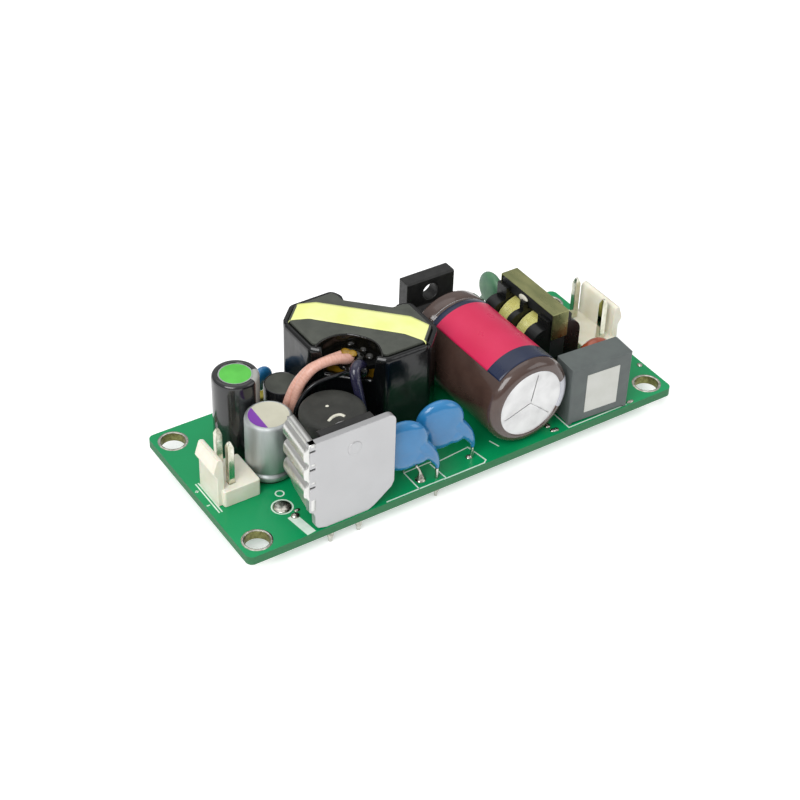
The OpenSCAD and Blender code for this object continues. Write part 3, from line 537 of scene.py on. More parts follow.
def buildStage():
    # white floor at the lowest lead tips, and a white sky seen by the camera
    size = 3.0
    data = bpy.data.meshes.new("floor")
    data.from_pydata([(-size, -size, floorZ), (size, -size, floorZ), (size, size, floorZ),
                      (-size, size, floorZ)],
                     [], [(0, 1, 2, 3)])
    floor = addObject("floor", data)
    mat = bpy.data.materials.new("paleFloor")
    mat.use_nodes = True
    tree = mat.node_tree
    tree.nodes.clear()
    diffuse = addNode(tree, "BsdfDiffuse", values={"Color": (0.8, 0.8, 0.8, 1)})
    glow = addNode(tree, "Emission", values={"Color": (1, 1, 1, 1), "Strength": 0.42})
    seen = addNode(tree, "LightPath")
    either = addNode(tree, "Math", {0: seen.outputs["Is Camera Ray"], 1: seen.outputs["Is Glossy Ray"]},
                     operation="MAXIMUM")
    either = addNode(tree, "Math", {0: either.outputs[0], 1: seen.outputs["Is Transmission Ray"]},
                     operation="MAXIMUM")
    lift = addNode(tree, "AddShader", {0: diffuse.outputs[0], 1: glow.outputs[0]})
    mix = addNode(tree, "MixShader", {0: either.outputs[0], 1: diffuse.outputs[0], 2: lift.outputs[0]})
    addNode(tree, "OutputMaterial", {"Surface": mix.outputs[0]})
    data.materials.append(mat)

    world = bpy.data.worlds.new("studio")
    bpy.context.scene.world = world
    world.use_nodes = True
    tree = world.node_tree
    tree.nodes.clear()
    seen = addNode(tree, "LightPath")
    either = addNode(tree, "Math",
                     {0: seen.outputs["Is Camera Ray"],
                      1: seen.outputs["Is Transmission Ray"]}, operation="MAXIMUM")
    # the light falls off from the zenith to the horizon, so upright black faces stay deep
    way = addNode(tree, "TexCoord")
    height = addNode(tree, "SeparateXYZ", {"Vector": way.outputs["Generated"]})
    lit = addNode(tree, "MapRange", {"Value": height.outputs["Z"]},
                  {"From Min": 0.0, "From Max": 0.9, "To Min": studio["horizon"],
                   "To Max": studio["world"]})
    strength = addNode(tree, "MapRange", {"Value": either.outputs[0], "To Min": lit.outputs[0]},
                       {"To Max": 1.0})
    sky = addNode(tree, "Background", {"Strength": strength.outputs[0]}, {"Color": (1, 1, 1, 1)})
    addNode(tree, "OutputWorld", {"Surface": sky.outputs[0]})


def addLamp(name, place, size, power):
    # soft rectangular light turned to look at the object
    lamp = bpy.data.lights.new(name, "AREA")
    lamp.shape, lamp.size, lamp.size_y, lamp.energy = "RECTANGLE", size[0], size[1], power
    obj = addObject(name, lamp)
    obj.location = place
    obj.rotation_euler = (Vector((0, 0, 0.01)) - Vector(place)).to_track_quat("-Z", "Y").to_euler()


buildStage()
addLamp("keyLeft", (-0.55, -0.30, 0.55), (0.5, 0.5), studio["key"])
addLamp("fillRight", (0.55, -0.55, 0.35), (0.5, 0.4), studio["fill"])
addLamp("topSoft", (0.05, 0.25, 0.75), (0.7, 0.7), studio["top"])
bpy.context.scene.view_settings.view_transform = "Standard"
print("camera and lights placed")


def placed(verts, at=(0, 0, 0), turn=0.0, lying=False):
    # lying: the upright axis is laid along +y; then a turn about z and a move
    v = np.asarray(verts, float)
    if lying:
        v = np.stack([v[:, 0], v[:, 2], -v[:, 1]], -1)
    c, s = math.cos(math.radians(turn)), math.sin(math.radians(turn))
    return np.stack([v[:, 0] * c - v[:, 1] * s, v[:, 0] * s + v[:, 1] * c, v[:, 2]], -1) + np.asarray(at,
            float)


def spun(profile, at, count=96, turn=0.0, lying=False):
    # profile turned round its axis, then laid down, turned and moved as in placed
    verts, faces = revolved(profile, count)
    return placed(verts, at, turn, lying), faces


def addModifier(obj, kind, **settings):
    # one modifier with its settings
    modifier = obj.modifiers.new(kind.lower(), kind)
    for key, value in settings.items():
        setattr(modifier, key, value)
    return modifier


def paintFaces(obj, index, chosen):
    # chosen: array test on the face centres in mm
    centres = np.empty(len(obj.data.polygons) * 3)
    obj.data.polygons.foreach_get("center", centres)
    picked = chosen(centres.reshape(-1, 3) / mm)
    now = np.zeros(len(picked), int)
    obj.data.polygons.foreach_get("material_index", now)
    obj.data.polygons.foreach_set("material_index", np.where(picked, index, now))


def tubeUv(path, sides):
    # u once round the tube, v the length along it in mm, loop by loop
    along = np.concatenate([[0], np.cumsum(np.linalg.norm(np.diff(path[:, :3], axis=0), axis=1))])
    i, j = np.meshgrid(np.arange(len(path) - 1), np.arange(sides), indexing="ij")
    u = np.stack([j, j + 1, j + 1, j], -1) / sides
    v = np.stack([along[i], along[i], along[i + 1], along[i + 1]], -1)
    return np.vstack([np.stack([u, v], -1).reshape(-1, 2), np.zeros((6 * sides, 2))])


def leadPiece(name, node, leads, mats, sides=18, steps=7):
    # each lead is a list of points and a radius, or one radius for each point
    parts, uvs = [], []
    for points, radius in leads:
        rows = np.column_stack([points, np.broadcast_to(radius, len(points))])
        path = smoothPath(rows, steps)
        parts.append(tube(path[:, :3], path[:, 3], sides))
        uvs.append(tubeUv(path, sides))
    obj = pieceFrom(name, *joined(parts), mats, replaces=node, angle=60)
    obj.data.uv_layers.new(name="UVMap").data.foreach_set("uv", np.vstack(uvs).ravel())
    return obj


def ellipsoid(x, y, z, rx, ry, rz, count=20):
    # unit sphere times the three radii, moved to its place
    a = np.radians(np.linspace(-90, 90, 11))
    profile = np.stack([np.cos(a), np.sin(a)], -1)
    profile[[0, -1], 0] = 0
    verts, faces = revolved(profile, count)
    return verts * [rx, ry, rz] + [x, y, z], faces


def melted(name, parts, mats, voxel, smoothing=5, **options):
    # overlapping closed shapes run together into one skin
    obj = pieceFrom(name, *joined(parts), mats, angle=None, **options)
    addModifier(obj, "REMESH", mode="VOXEL", voxel_size=voxel * mm, use_smooth_shade=True)
    addModifier(obj, "SMOOTH", factor=0.6, iterations=smoothing)
    return obj


def ribbon(points, width, low, high, closed=False):
    # flat strip of one width along a line, mitred at its corners, between two heights
    p = np.asarray(points, float)
    ahead = np.roll(p, -1, 0) - p
    if not closed:
        ahead[-1] = ahead[-2]
    ahead /= np.linalg.norm(ahead, axis=1)[:, None]
    behind = np.roll(ahead, 1, 0)
    if not closed:
        behind[0] = ahead[0]
    leftOf = np.stack([-ahead[:, 1], ahead[:, 0]], -1)
    mitre = leftOf + np.stack([-behind[:, 1], behind[:, 0]], -1)
    mitre /= np.linalg.norm(mitre, axis=1)[:, None]
    reach = width / 2 / np.clip((mitre * leftOf).sum(1), 0.35, 1)[:, None]
    left, right = p + mitre * reach, p - mitre * reach
    section = [(left, low), (right, low), (right, high), (left, high)]
    verts = np.stack([np.column_stack([side, np.full(len(p), z)]) for side, z in section], 1).reshape(-1, 3)
    faces = gridFaces(len(p), 4, closeRows=closed, closeCols=True)[:, ::-1].tolist()
    if not closed:
        last = 4 * (len(p) - 1)
        faces += [[0, 1, 2, 3], [last + 3, last + 2, last + 1, last]]
    return verts, faces


def circlePoints(x, y, r, count=40):
    # x + r cos a, y + r sin a round a full turn
    a = np.linspace(0, 2 * np.pi, count, endpoint=False)
    return np.stack([x + r * np.cos(a), y + r * np.sin(a)], -1)


# printing and tinned places on the board
silk = {"line": 0.24, "rise": 0.02,
        "outlines": [[(2.15, -12.6), (2.9, -17.1), (2.2, -17.6), (-6, -17.6)],
                     [(-3.8, -12.8), (-6.2, -12.7), (-10.85, -12.8), (-10.9, -17.6)],
                     [(-5.8, -13.1), (-5.5, -17.5)], [(-4.2, -13.3), (2.1, -12.75)], [(-17.3, -17.5),
                             (-6, -17.5)],
                     [(6.3, -13.25), (6.9, -15.3)],
                     [(20.3, -12), (20.3, -17.4), (33, -17.4)],
                     [(-41.9, -5.7), (-41.9, 2.6)], [(-41.4, -5.7), (-41.4, 2.6)]],
        "marks": [[(-42.9, -3.2), (-42.3, -3.2)], [(-42.9, 0.8), (-42.3, 0.8)],
                  [(-42.6, 0.5), (-42.6, 1.1)]],
        "rings": [(-32.5, -9.7, 1.75), (-31.2, -6.6, 0.7)], "bar": [(-32.3, -12.4),
                (-31.6, -17.6)], "barWidth": 1.7}
silkLow, silkHigh = boardTop / mm, boardTop / mm + silk["rise"]
strips = [ribbon(line, silk["line"], silkLow, silkHigh) for line in silk["outlines"] + silk["marks"]]
strips.append(ribbon(silk["bar"], silk["barWidth"], silkLow, silkHigh))
strips += [ribbon(circlePoints(*ring), silk["line"], silkLow, silkHigh,
                  closed=True) for ring in silk["rings"]]
pieceFrom("boardPrinting", *joined(strips), "silk", slotFrom="board", smooth=False)

padRing = {"hole": 2.1, "outer": 2.6, "dome": 0.09}
section = np.array([(padRing["outer"], -0.02), (padRing["outer"], boardTop / mm + 0.01),
                    (2.5, boardTop / mm + 0.06),
                    (2.35, boardTop / mm + padRing["dome"]), (2.2, boardTop / mm + 0.07), (2.12,
                            boardTop / mm),
                    (padRing["hole"], boardTop / mm - 0.1), (padRing["hole"], 0.1), (2.12, 0), (2.2,
                            -0.06), (2.5, -0.06)])
angles = np.linspace(0, 2 * np.pi, 72, endpoint=False)
ringVerts = np.stack([np.outer(section[:, 0], np.cos(angles)), np.outer(section[:, 0], np.sin(angles)),
                      np.repeat(section[:, 1:2], len(angles), 1)], -1).reshape(-1, 3)
ringFaces = gridFaces(len(section), len(angles), closeRows=True, closeCols=True)
padLow, padHigh = boxMm("mounting_pads")
holeX, holeY = padHigh[0] - padRing["outer"], padHigh[1] - padRing["outer"]
spots = [(x, y, 0) for x in (-holeX, holeX) for y in (-holeY, holeY)]
pads = pieceFrom("tinnedPads", *joined([(placed(ringVerts, spot), ringFaces) for spot in spots]),
                 ["solder", "barrel"], replaces="mounting_pads")
paintFaces(pads, 1, lambda c: np.hypot(np.abs(c[:, 0]) - holeX, np.abs(c[:, 1]) - holeY) < 2.108)

# solder on bare pads of the upper side: x, y, spread in x and y, height
blobs = [(-32.5, -9.7, 1.6, 1.6, 0.45), (0.9, -15, 0.7, 0.6, 0.35), (17.3, -15.1, 0.6, 0.6, 0.35),
         (17.4, -16.6, 0.55, 0.5, 0.3), (18.1, -16.7, 0.5, 0.5, 0.3), (34, -17.2, 0.8, 0.4, 0.3),
         (42.3, -9.6, 0.5, 0.6, 0.3), (-31.8, -12.7, 0.8, 0.7, 0.5), (-9.4, -15.6, 1.0, 0.95, 0.4),
         (-30.8, -11.6, 0.6, 0.4, 0.2)]
stub = smoothPath([(-9.4, -15.6, 1.5, 0.9), (-9.4, -15.6, 2.1, 0.7), (-9.45, -15.5, 2.8, 0.42),
                   (-9.6, -15.4, 3.6, 0.28),
                   (-10.1, -15.1, 4.6, 0.26)])
melted("solderBlobs", [ellipsoid(x, y, boardTop / mm, rx, ry, h) for x, y, rx, ry, h in blobs]
       + [tube(stub[:, :3], stub[:, 3], 12)],
       "solder", 0.09, 2, slotFrom="solder_joints")
print("board dressed")

# output capacitors
# profile rows here and below are (r, z) in mm, from the middle of the bottom to the middle of the top
filterCap = {"base": 1.7, "top": 17.2, "recess": 16.93}
capX, capY = centreMm("filter_cap_sleeve")[:2]
rim = [(0, filterCap["base"]), (3.3, filterCap["base"]), (3.85, 1.85), (4, 2.2), (4, 9), (4, 16.4),
       (3.95, 16.75),
       (3.8, 17.0), (3.55, 17.15), (3.25, filterCap["top"]), (3.02, 17.17), (2.9, 17.06), (2.86,
               filterCap["recess"]),
       (1.5, filterCap["recess"]), (0, filterCap["recess"])]
pieceFrom("filterCapSleeve", *spun(rim, (capX, capY, 0)), "cap",
          replaces="filter_cap_sleeve", angle=50)
sticker = [(0, 16.9), (2.7, 16.9), (2.74, 16.98), (2.6, 17.02), (0, 17.02)]
pieceFrom("filterCapSticker", *spun(sticker, (capX, capY, 0)), "green",
          replaces="filter_cap_label", angle=40)

polymerCap = {"printFrom": 13.5, "printRadius": 3.42}
polyX, polyY = centreMm("polymer_cap_can")[:2]
can = [(0, 2.25), (3.6, 2.25), (3.95, 2.32), (4.05, 2.5), (4.05, 3.1), (3.95, 3.3), (3.72, 3.45),
       (3.64, 3.65),
       (3.72, 3.85), (3.95, 4.0), (4.05, 4.25), (4.05, 8), (4.05, 12.85), (3.99, 13.15), (3.84,
               13.4), (3.62, 13.55),
       (3.5, 13.6), (3.4, 13.56), (1.6, 13.56), (0, 13.56)]
polymer = pieceFrom("polymerCan", *spun(can, (polyX, polyY, 0)), ["canMetal", "polyTop"],
                    replaces="polymer_cap_can", angle=40)
paintFaces(polymer, 1, lambda c: (c[:, 2] > polymerCap["printFrom"])
           & (np.hypot(c[:, 0] - polyX, c[:, 1] - polyY) < polymerCap["printRadius"]))

# bulk capacitor: a film shrunk over the can, folded in at the front and nipped near the seal
bulk = {"at": (11.85, -16.9, 9.95), "turn": 1.0, "radius": 8.25, "length": 25.1, "fold": 1.85,
        "labelFrom": 50,
        "labelTo": 135, "labelStart": 1.7, "labelEnd": 21.3, "labelRise": 0.07, "labelThick": 0.06,
        "labelGrid": (40, 34), "navyBelow": 5.3, "navyAbove": 20.2}
sleeveR, sleeveL = bulk["radius"], bulk["length"]
front = arcPoints(sleeveR - bulk["fold"], bulk["fold"], bulk["fold"], -90, 0, 9)
nip = [(sleeveR, 4), (sleeveR, 12), (sleeveR, sleeveL - 5), (sleeveR - 0.08, sleeveL - 4.5),
       (sleeveR - 0.5, sleeveL - 3.95), (sleeveR - 0.62, sleeveL - 3.6), (sleeveR - 0.5, sleeveL - 3.25),
       (sleeveR - 0.08, sleeveL - 2.7), (sleeveR, sleeveL - 2.2), (sleeveR,
               sleeveL - 0.8), (sleeveR - 0.12, sleeveL - 0.35), (sleeveR - 0.4,
                       sleeveL - 0.08), (sleeveR - 0.75, sleeveL),
       (sleeveR - 1.05, sleeveL - 0.1), (sleeveR - 1.15, sleeveL - 0.4), (sleeveR - 1.2, sleeveL - 2), (0,
               sleeveL - 2.1)]
film = [(0, 0.75), (6.25, 0.75), (6.28, 0.2), (6.33, 0.05), *front.tolist(), *nip]
pieceFrom("bulkSleeve", *spun(film, bulk["at"], 128, bulk["turn"], True), "brown",
          replaces="bulk_cap_sleeve",
          angle=40)
phi = np.radians(np.linspace(bulk["labelFrom"], bulk["labelTo"], bulk["labelGrid"][0]))[:, None]
step = np.linspace(bulk["labelStart"], bulk["labelEnd"], bulk["labelGrid"][1])[None, :]
sheetR = sleeveR + bulk["labelRise"]
verts = np.stack([sheetR * np.cos(phi) + 0 * step, step + 0 * phi, sheetR * np.sin(phi) + 0 * step],
                 -1).reshape(-1, 3)
label = pieceFrom("bulkLabel", placed(verts, bulk["at"], bulk["turn"]), gridFaces(*bulk["labelGrid"]),
                  ["magenta", "navy"],
                  replaces="bulk_cap_label", angle=None)
paintFaces(label, 1, lambda c: (c[:, 1] < bulk["at"][1] + bulk["navyBelow"])
           | (c[:, 1] > bulk["at"][1] + bulk["navyAbove"]))
addModifier(label, "SOLIDIFY", thickness=bulk["labelThick"] * mm, offset=-1)
print("capacitors made")

# leads of the transformer
leadPiece("secondaryLeads", "secondary_leads", [
    ([(-12.6, 1.2, 16.8), (-13.3, 1, 17.5), (-14.2, .8, 17.95), (-15.6, .7, 18.55), (-17.6, .7, 18.85),
      (-19.6, .9, 18.5),
      (-21.2, 1.1, 17.4), (-22.4, 1.4, 15.5), (-23.2, 1.8, 12.8), (-23.5, 2.1, 9.3), (-23.6, 2.2, 5.5),
      (-23.6, 2.2, 1.6)], [.85, .9, .9, .88, .86, .86, .84, .8, .74, .7, .66, .6]),
    ([(-12.9, 2.8, 16.8), (-13.6, 2.6, 17.3), (-14.8, 2.4, 17.5), (-16.2, 2.3, 17.6), (-18, 2.3, 17.5),
      (-19.8, 2.5, 17),
      (-21.3, 2.7, 15.9), (-22.7, 3, 14), (-23.8, 3.3, 11.3), (-24.4, 3.5, 8.2), (-24.6, 3.5, 5),
      (-24.6, 3.5, 1.6)], [.85, .9, .9, .88, .86, .86, .84, .8, .74, .7, .66, .6])], "pink")
leadPiece("primaryLead", "primary_lead", [
    ([(-12.3, -1.3, 17.3), (-13.4, -2, 18.2), (-14.5, -2.8, 18.1), (-14.8, -3.5, 16.9),
      (-14.65, -4.3, 14.4),
      (-14.5, -5.4, 11), (-14.5, -6.9, 7), (-14.9, -8.4, 3.6), (-14.9, -8.4, 1.6)],
     [.9, .95, .92, .88, .82, .78, .7, .55, .5])], "dark", 24)
leadPiece("shieldLead", "shield_lead", [
    ([(-14.2, -.6, 16.1), (-15, -.7, 16.4), (-16.6, -.8, 16.6), (-19, -.7, 16.6), (-21.3, -.4, 15.9),
      (-23, 0, 13.9),
      (-24.1, .3, 11), (-24.4, .4, 6), (-24.4, .4, 1.6)], .36)], "blackFilm", 12)

# transformer: ferrite halves, a tape band round them and one yellow strip over the top
core = {"at": (-8.1, 6.0), "turn": -45, "low": 3.5, "top": 19.9, "plate": 2.5, "notchAt": -9.1,
        "notch": 5.8,
        "bandTop": 19.45, "bandWall": 0.85, "nearCut": (4.2, 14.6), "farCut": (3.4,
                17.6), "levels": 14, "post": 4.2}


def turnedCore(verts):
    return placed(verts, (*core["at"], 0), core["turn"])


def roundedOutline(points, cut, steps=5):
    # each corner becomes a quadratic curve between two points cut back along its sides
    p = np.asarray(points, float)
    back, ahead = np.roll(p, 1, 0) - p, np.roll(p, -1, 0) - p
    backLong, aheadLong = np.linalg.norm(back, axis=1)[:, None], np.linalg.norm(ahead, axis=1)[:, None]
    start = p + back / backLong * np.minimum(cut, 0.45 * backLong)
    end = p + ahead / aheadLong * np.minimum(cut, 0.45 * aheadLong)
    t = np.linspace(0, 1, steps)[None, :, None]
    return ((1 - t) ** 2 * start[:, None] + 2 * t * (1 - t) * p[:, None] + t ** 2 * end[:,
            None]).reshape(-1, 2)


def prism(outline, low, high):
    # outline carried straight up from low to high, with both ends closed
    n = len(outline)
    verts = np.vstack([np.column_stack([outline, np.full(n, low)]),
                       np.column_stack([outline, np.full(n, high)])])
    return verts, [*gridFaces(2, n, closeCols=True).tolist(), list(range(n))[::-1], list(range(n, 2 * n))]


half = [(11.9, -2.0), (11.9, 2.2), (6.8, 7.6), (5.9, 7.3), (4.3, 5.95)]
notch = arcPoints(0, core["notchAt"], core["notch"], 163, 17, 16)
plateLine = np.vstack([half, [(-u, v) for u, v in half[:0:-1]], [(-11.9, -2.0), (-6.4, -7.4)], notch,
                       [(6.4, -7.4)]])
legLine = np.array([(11.9, -2.0), (11.9, 2.2), (7.0, 7.2), (6.2, 6.3), (8.4, 3), (9.3, 0), (8.4, -3),
                    (6.2, -6.3),
                    (6.6, -7.1)])
post = circlePoints(0, 0, core["post"])
coreLow, coreTop = core["low"], core["top"]
halves = [prism(plateLine, coreTop - core["plate"], coreTop),
          prism(plateLine, coreLow, coreLow + core["plate"]),
          prism(legLine, coreLow + 1, coreTop - 1), prism((legLine * [-1, 1])[::-1], coreLow + 1,
                  coreTop - 1),
          prism(post, coreLow + 1, coreTop - 3)]
verts, faces = joined(halves)
ferrite = pieceFrom("ferriteHalves", turnedCore(verts), faces, "ferrite", replaces="transformer_core",
                    angle=30)
addModifier(ferrite, "BEVEL", width=0.25 * mm, segments=3, limit_method="ANGLE", use_clamp_overlap=False,
            harden_normals=True)

# band: a wall round the outline, its top edge cut down at the two openings
bandHalf = [(12.85, -2.3), (12.85, 2.6), (7.15, 8.45), (5.7, 8.1), (4.1, 6.8)]
bandLine = np.vstack([bandHalf, [(-u, v) for u, v in bandHalf[:0:-1]],
                      [(-12.85, -2.3), (-6.7, -8.35), (6.7, -8.35)]])
edge = roundedOutline(bandLine, 0.7)
edge = np.vstack([edge, edge[:1]])
run = np.concatenate([[0], np.cumsum(np.linalg.norm(np.diff(edge, axis=0), axis=1))])
even = np.sort(np.concatenate([run[:-1], np.linspace(0, run[-1], 240, endpoint=False)]))
wall = np.stack([np.interp(even, run, edge[:, 0]), np.interp(even, run, edge[:, 1])], -1)
nearSide, farSide = wall[:, 1] < -8, wall[:, 1] > 5.9
ramp = np.where(nearSide, np.clip((np.abs(wall[:, 0]) - core["nearCut"][0]) / 0.5, 0, 1),
                np.where(farSide, np.clip((np.abs(wall[:, 0]) - core["farCut"][0]) / 1.5, 0, 1), 1))
cutTop = np.where(nearSide, core["nearCut"][1], core["farCut"][1])
edgeTop = cutTop + (core["bandTop"] - cutTop) * ramp
levels = np.linspace(0, 1, core["levels"])[:, None]
zBand = coreLow + (edgeTop[None, :] - coreLow) * levels
verts = np.stack([wall[None, :, 0] + 0 * zBand, wall[None, :, 1] + 0 * zBand, zBand], -1).reshape(-1, 3)
band = pieceFrom("tapeBand", turnedCore(verts), gridFaces(core["levels"], len(wall), closeCols=True),
                 "blackTape",
                 replaces="transformer_band", angle=50)
addModifier(band, "SOLIDIFY", thickness=core["bandWall"] * mm, offset=-1)

# varnished wall of the near opening
lining = {"swing": (10, 170), "rise": (14.6, 19.84), "inset": 0.16, "thick": 0.22, "grid": (16, 40)}
swing = np.radians(np.linspace(*lining["swing"], lining["grid"][1]))[None, :]
rise = np.linspace(*lining["rise"], lining["grid"][0])[:, None]
wave = 0.08 * np.sin(rise * 3.1 + 5 * swing) + 0.06 * np.sin(7.3 * swing - 2.2 * rise)
linerR = core["notch"] - lining["inset"] + wave
verts = np.stack([linerR * np.cos(swing), core["notchAt"] + linerR * np.sin(swing), rise + 0 * swing],
                 -1).reshape(-1, 3)
liner = pieceFrom("varnishedNotch", turnedCore(verts), gridFaces(*lining["grid"])[:, ::-1], "varnish",
                  slotFrom="transformer_winding", angle=None)
addModifier(liner, "SOLIDIFY", thickness=lining["thick"] * mm, offset=-1)

# strip: flat on the core, then a quarter turn down over each end
lay = {"half": 14.6, "flat": 11.2, "turn": 0.7, "gap": 0.06, "thick": 0.05, "grid": (150, 12)}
along = np.linspace(-lay["half"], lay["half"], lay["grid"][0])[:, None]
flat, turnR = lay["flat"], lay["turn"]
theta = np.clip((np.abs(along) - flat) / turnR, 0, np.pi / 2)
drop = np.maximum(np.abs(along) - flat - turnR * np.pi / 2, 0)
u = np.sign(along) * (np.minimum(np.abs(along), flat) + turnR * np.sin(theta))
z = coreTop + lay["gap"] - turnR * (1 - np.cos(theta)) - drop
lowV, highV = (np.interp(along, [-12, -8.6, 8, 12], row) for row in ([-2.4, -1, -1.3, -2.6],
        [2.5, 4, 3.9, 2]))
v = lowV + (highV - lowV) * np.linspace(0, 1, lay["grid"][1])[None, :]
verts = np.stack([u + 0 * v, v, z + 0 * v], -1).reshape(-1, 3)
strip = pieceFrom("yellowStrip", turnedCore(verts), gridFaces(*lay["grid"])[:, ::-1], "yellowTape",
                  replaces="transformer_tape", angle=None)
addModifier(strip, "SOLIDIFY", thickness=lay["thick"] * mm, offset=-1)
print("transformer made")

# varnish run together where the leads leave the coil
varnish = [(-12.4, 2.4, 16.3, 1.6, 1.5, 1.2), (-12.3, 0.2, 16.4, 1.5, 1.6, 1.4),
           (-13.4, 0.2, 15.9, 1.1, 1.2, 1.1),
           (-11.2, 3.6, 18.2, 0.9, 0.6, 0.5), (-10.6, -1.2, 18.4, 0.8, 0.9, 0.5), (-10.9, 0.4, 18.9, 0.6,
                   0.7, 0.4),
           (-12.2, -1.3, 16.2, 1.3, 1.2, 1.3), (-13.9, 1.6, 16.1, 1.0, 1.3, 0.8), (-11.4, 1.0, 17.4, 1.0,
                   1.6, 0.8)]
melted("varnishDrips", [ellipsoid(*row) for row in varnish], "varnish", 0.14, 3,
       slotFrom="transformer_winding")
melted("amberWrap", [ellipsoid(-13.2, 1.9, 18.15, 0.9, 1.3, 0.45),
                     ellipsoid(-12.5, 1.1, 18.3, 0.7, 0.9, 0.4)],
       "amber", 0.1, 3, slotFrom="transformer_winding")
print("leads made")

# heat sink: blanked plate, and a wing pressed into three ribs
sink = {"at": (-32.0, -17.65), "sheet": 1.2, "height": 18.2, "width": 16.0, "wing": 8.2, "pitch": 3.7,
        "bulge": 0.85, "lean": 0.1,
        "ribHalf": 1.66, "firstRib": 17.5, "corner": 1.4, "slotLow": 1.55, "slotHigh": 1.25,
        "wingSheet": 1.1, "wingGrid": (40, 110)}
h, w = sink["height"], sink["width"]
corner = arcPoints(w - sink["corner"], h - sink["corner"], sink["corner"], 0, 90, 8)
slots = np.array([[(0, h - sink["slotHigh"] - k), (1.1, h - sink["slotHigh"] - k),
                   (1.1, h - sink["slotLow"] - k), (0, h - sink["slotLow"] - k)]
                  for k in sink["pitch"] * np.arange(3)]).reshape(-1, 2)
outline = np.vstack([[(1.6, .5), (3.2, 0), (11, 0), (12.2, .6), (w - .5, 3.2), (w, 4.3)], corner, [(0, h)],
                     slots,
                     [(0, 4.4), (.7, 4), (1, 3.2), (1.1, 1.2)]])
plateVerts = np.column_stack([sink["at"][0] + outline[:, 0], np.full(len(outline), sink["at"][1]),
                              boardTop / mm + outline[:, 1]])
plate = pieceFrom("sinkPlate", plateVerts, [list(range(len(outline)))], "sheet", replaces="heat_sink",
                  angle=30)
addModifier(plate, "SOLIDIFY", thickness=sink["sheet"] * mm, offset=-1)
addModifier(plate, "BEVEL", width=0.13 * mm, segments=3, limit_method="ANGLE", use_clamp_overlap=False,
            harden_normals=True)

# wing: x steps out by three rounded ridges that fade into the plate
yRow = np.linspace(sink["at"][1] + 0.03, sink["at"][1] + sink["wing"], sink["wingGrid"][0])[:, None]
lowEdge = boardTop / mm + np.interp(yRow, sink["at"][1] + np.array([1.2, 6.4, 8.2]), [4.6, 5.4, 7.0])
share = np.linspace(0, 1, sink["wingGrid"][1])[None, :]
zGrid = lowEdge + (boardTop / mm + h - lowEdge) * share
ridge = sum(np.clip(1 - np.abs((zGrid - sink["firstRib"] + sink["pitch"] * k) / sink["ribHalf"]) ** 2.6, 0,
                    1) ** 0.8
            for k in range(3))
fade = np.clip((yRow - sink["at"][1] - 0.05) / 0.4, 0, 1)
fade = fade * fade * (3 - 2 * fade)
xGrid = sink["at"][0] - 0.02 + sink["lean"] * (yRow - sink["at"][1]) - sink["bulge"] * ridge * fade
wingVerts = np.stack([xGrid, yRow + 0 * zGrid, zGrid], -1).reshape(-1, 3)
# the wing takes the lighter copy of the sheet aluminium: painted light
wing = pieceFrom("sinkWing", wingVerts, gridFaces(*sink["wingGrid"]), "pressed", slotFrom="heat_sink",
                 angle=60)
addModifier(wing, "SOLIDIFY", thickness=sink["wingSheet"] * mm, offset=-1, use_even_offset=False)
feet = [(-27.8, -17.05), (-22.4, -17.05)]
pieceFrom("sinkFeet", *joined([tube([(a, b, floorZ / mm), (a, b, 0.5), (a, b, 1.9)], 0.4, 16) for a,
        b in feet]),
          "tin", slotFrom="heat_sink")

rivetAt = (-23.7, sink["at"][1] - 0.12, 15.9)
head = [(0, 0.06), (0.5, 0.06), (0.68, 0.02), (0.8, 0.0), (1.12, 0.0), (1.26, 0.04), (1.32, 0.12),
        (1.32, 0.4),
        (1.1, 0.5), (1.1, 3.95), (2.1, 4.0), (2.3, 4.15), (2.3, 4.6), (2.1, 4.85), (1.6, 4.92), (0, 4.92)]
pieceFrom("rivetSet", *spun(head, rivetAt, 64, 0, True), "sheet", replaces="rivet",
          angle=50)
print("heat sink made")


# dipped discs
discSides = 48


def lens(radius, thick, power=3.2):
    # half section: (r / radius) ^ power + (2 t / thick) ^ 2 = 1
    a = np.radians(np.linspace(-90, 90, 17))
    profile = np.stack([radius * np.maximum(np.cos(a), 0) ** (2 / power), thick / 2 * np.sin(a)], -1)
    profile[[0, -1], 0] = 0
    return profile


def leg(points, radii, at, turn):
    # tapering tube along a smooth line, turned and moved with its disc
    path = smoothPath(np.column_stack([points, radii]), 6)
    return tube(placed(path[:, :3], at, turn), path[:, 3], 14)


discCaps = {"right_disc_cap": {"at": (-4.8, -13.85, 10.9), "legs": (-6.2, 6.2)},
            "left_disc_cap": {"at": (-12.9, -15.25, 10.8), "legs": (-4.6, 6.2)}}
discTurn = -13
for nodeName, disc in discCaps.items():
    parts = [spun(lens(4.3, 2.8), disc["at"], discSides, discTurn, True)]
    lower = (disc["at"][0], disc["at"][1], disc["at"][2] - 1.8)
    parts.append(spun(lens(3.9, 2.65), lower, discSides, discTurn, True))
    for foot in disc["legs"]:
        side, out = np.sign(foot), abs(foot)
        points = [(side * (out - 3.4), 0, -.8), (side * (out - 2.1), 0, -2.4),
                  (side * (out - 1.3), 0, -3.5), (side * (out - .7), 0, -4.5),
                  (side * (out - .25), 0, -5.5), (foot, 0, -6.3), (foot, 0, -7)]
        parts.append(leg(points, [1.35, 1.33, 1.2, .95, .68, .45, .36], disc["at"], discTurn))
        web = ellipsoid(side * (out - 3.6), 0, -3.2, 2.3, 1.25, 1.9)
        parts.append((placed(web[0], disc["at"], discTurn), web[1]))
    melted(nodeName.title().replace("_", ""), parts, "blue", 0.15, 8, replaces=nodeName)

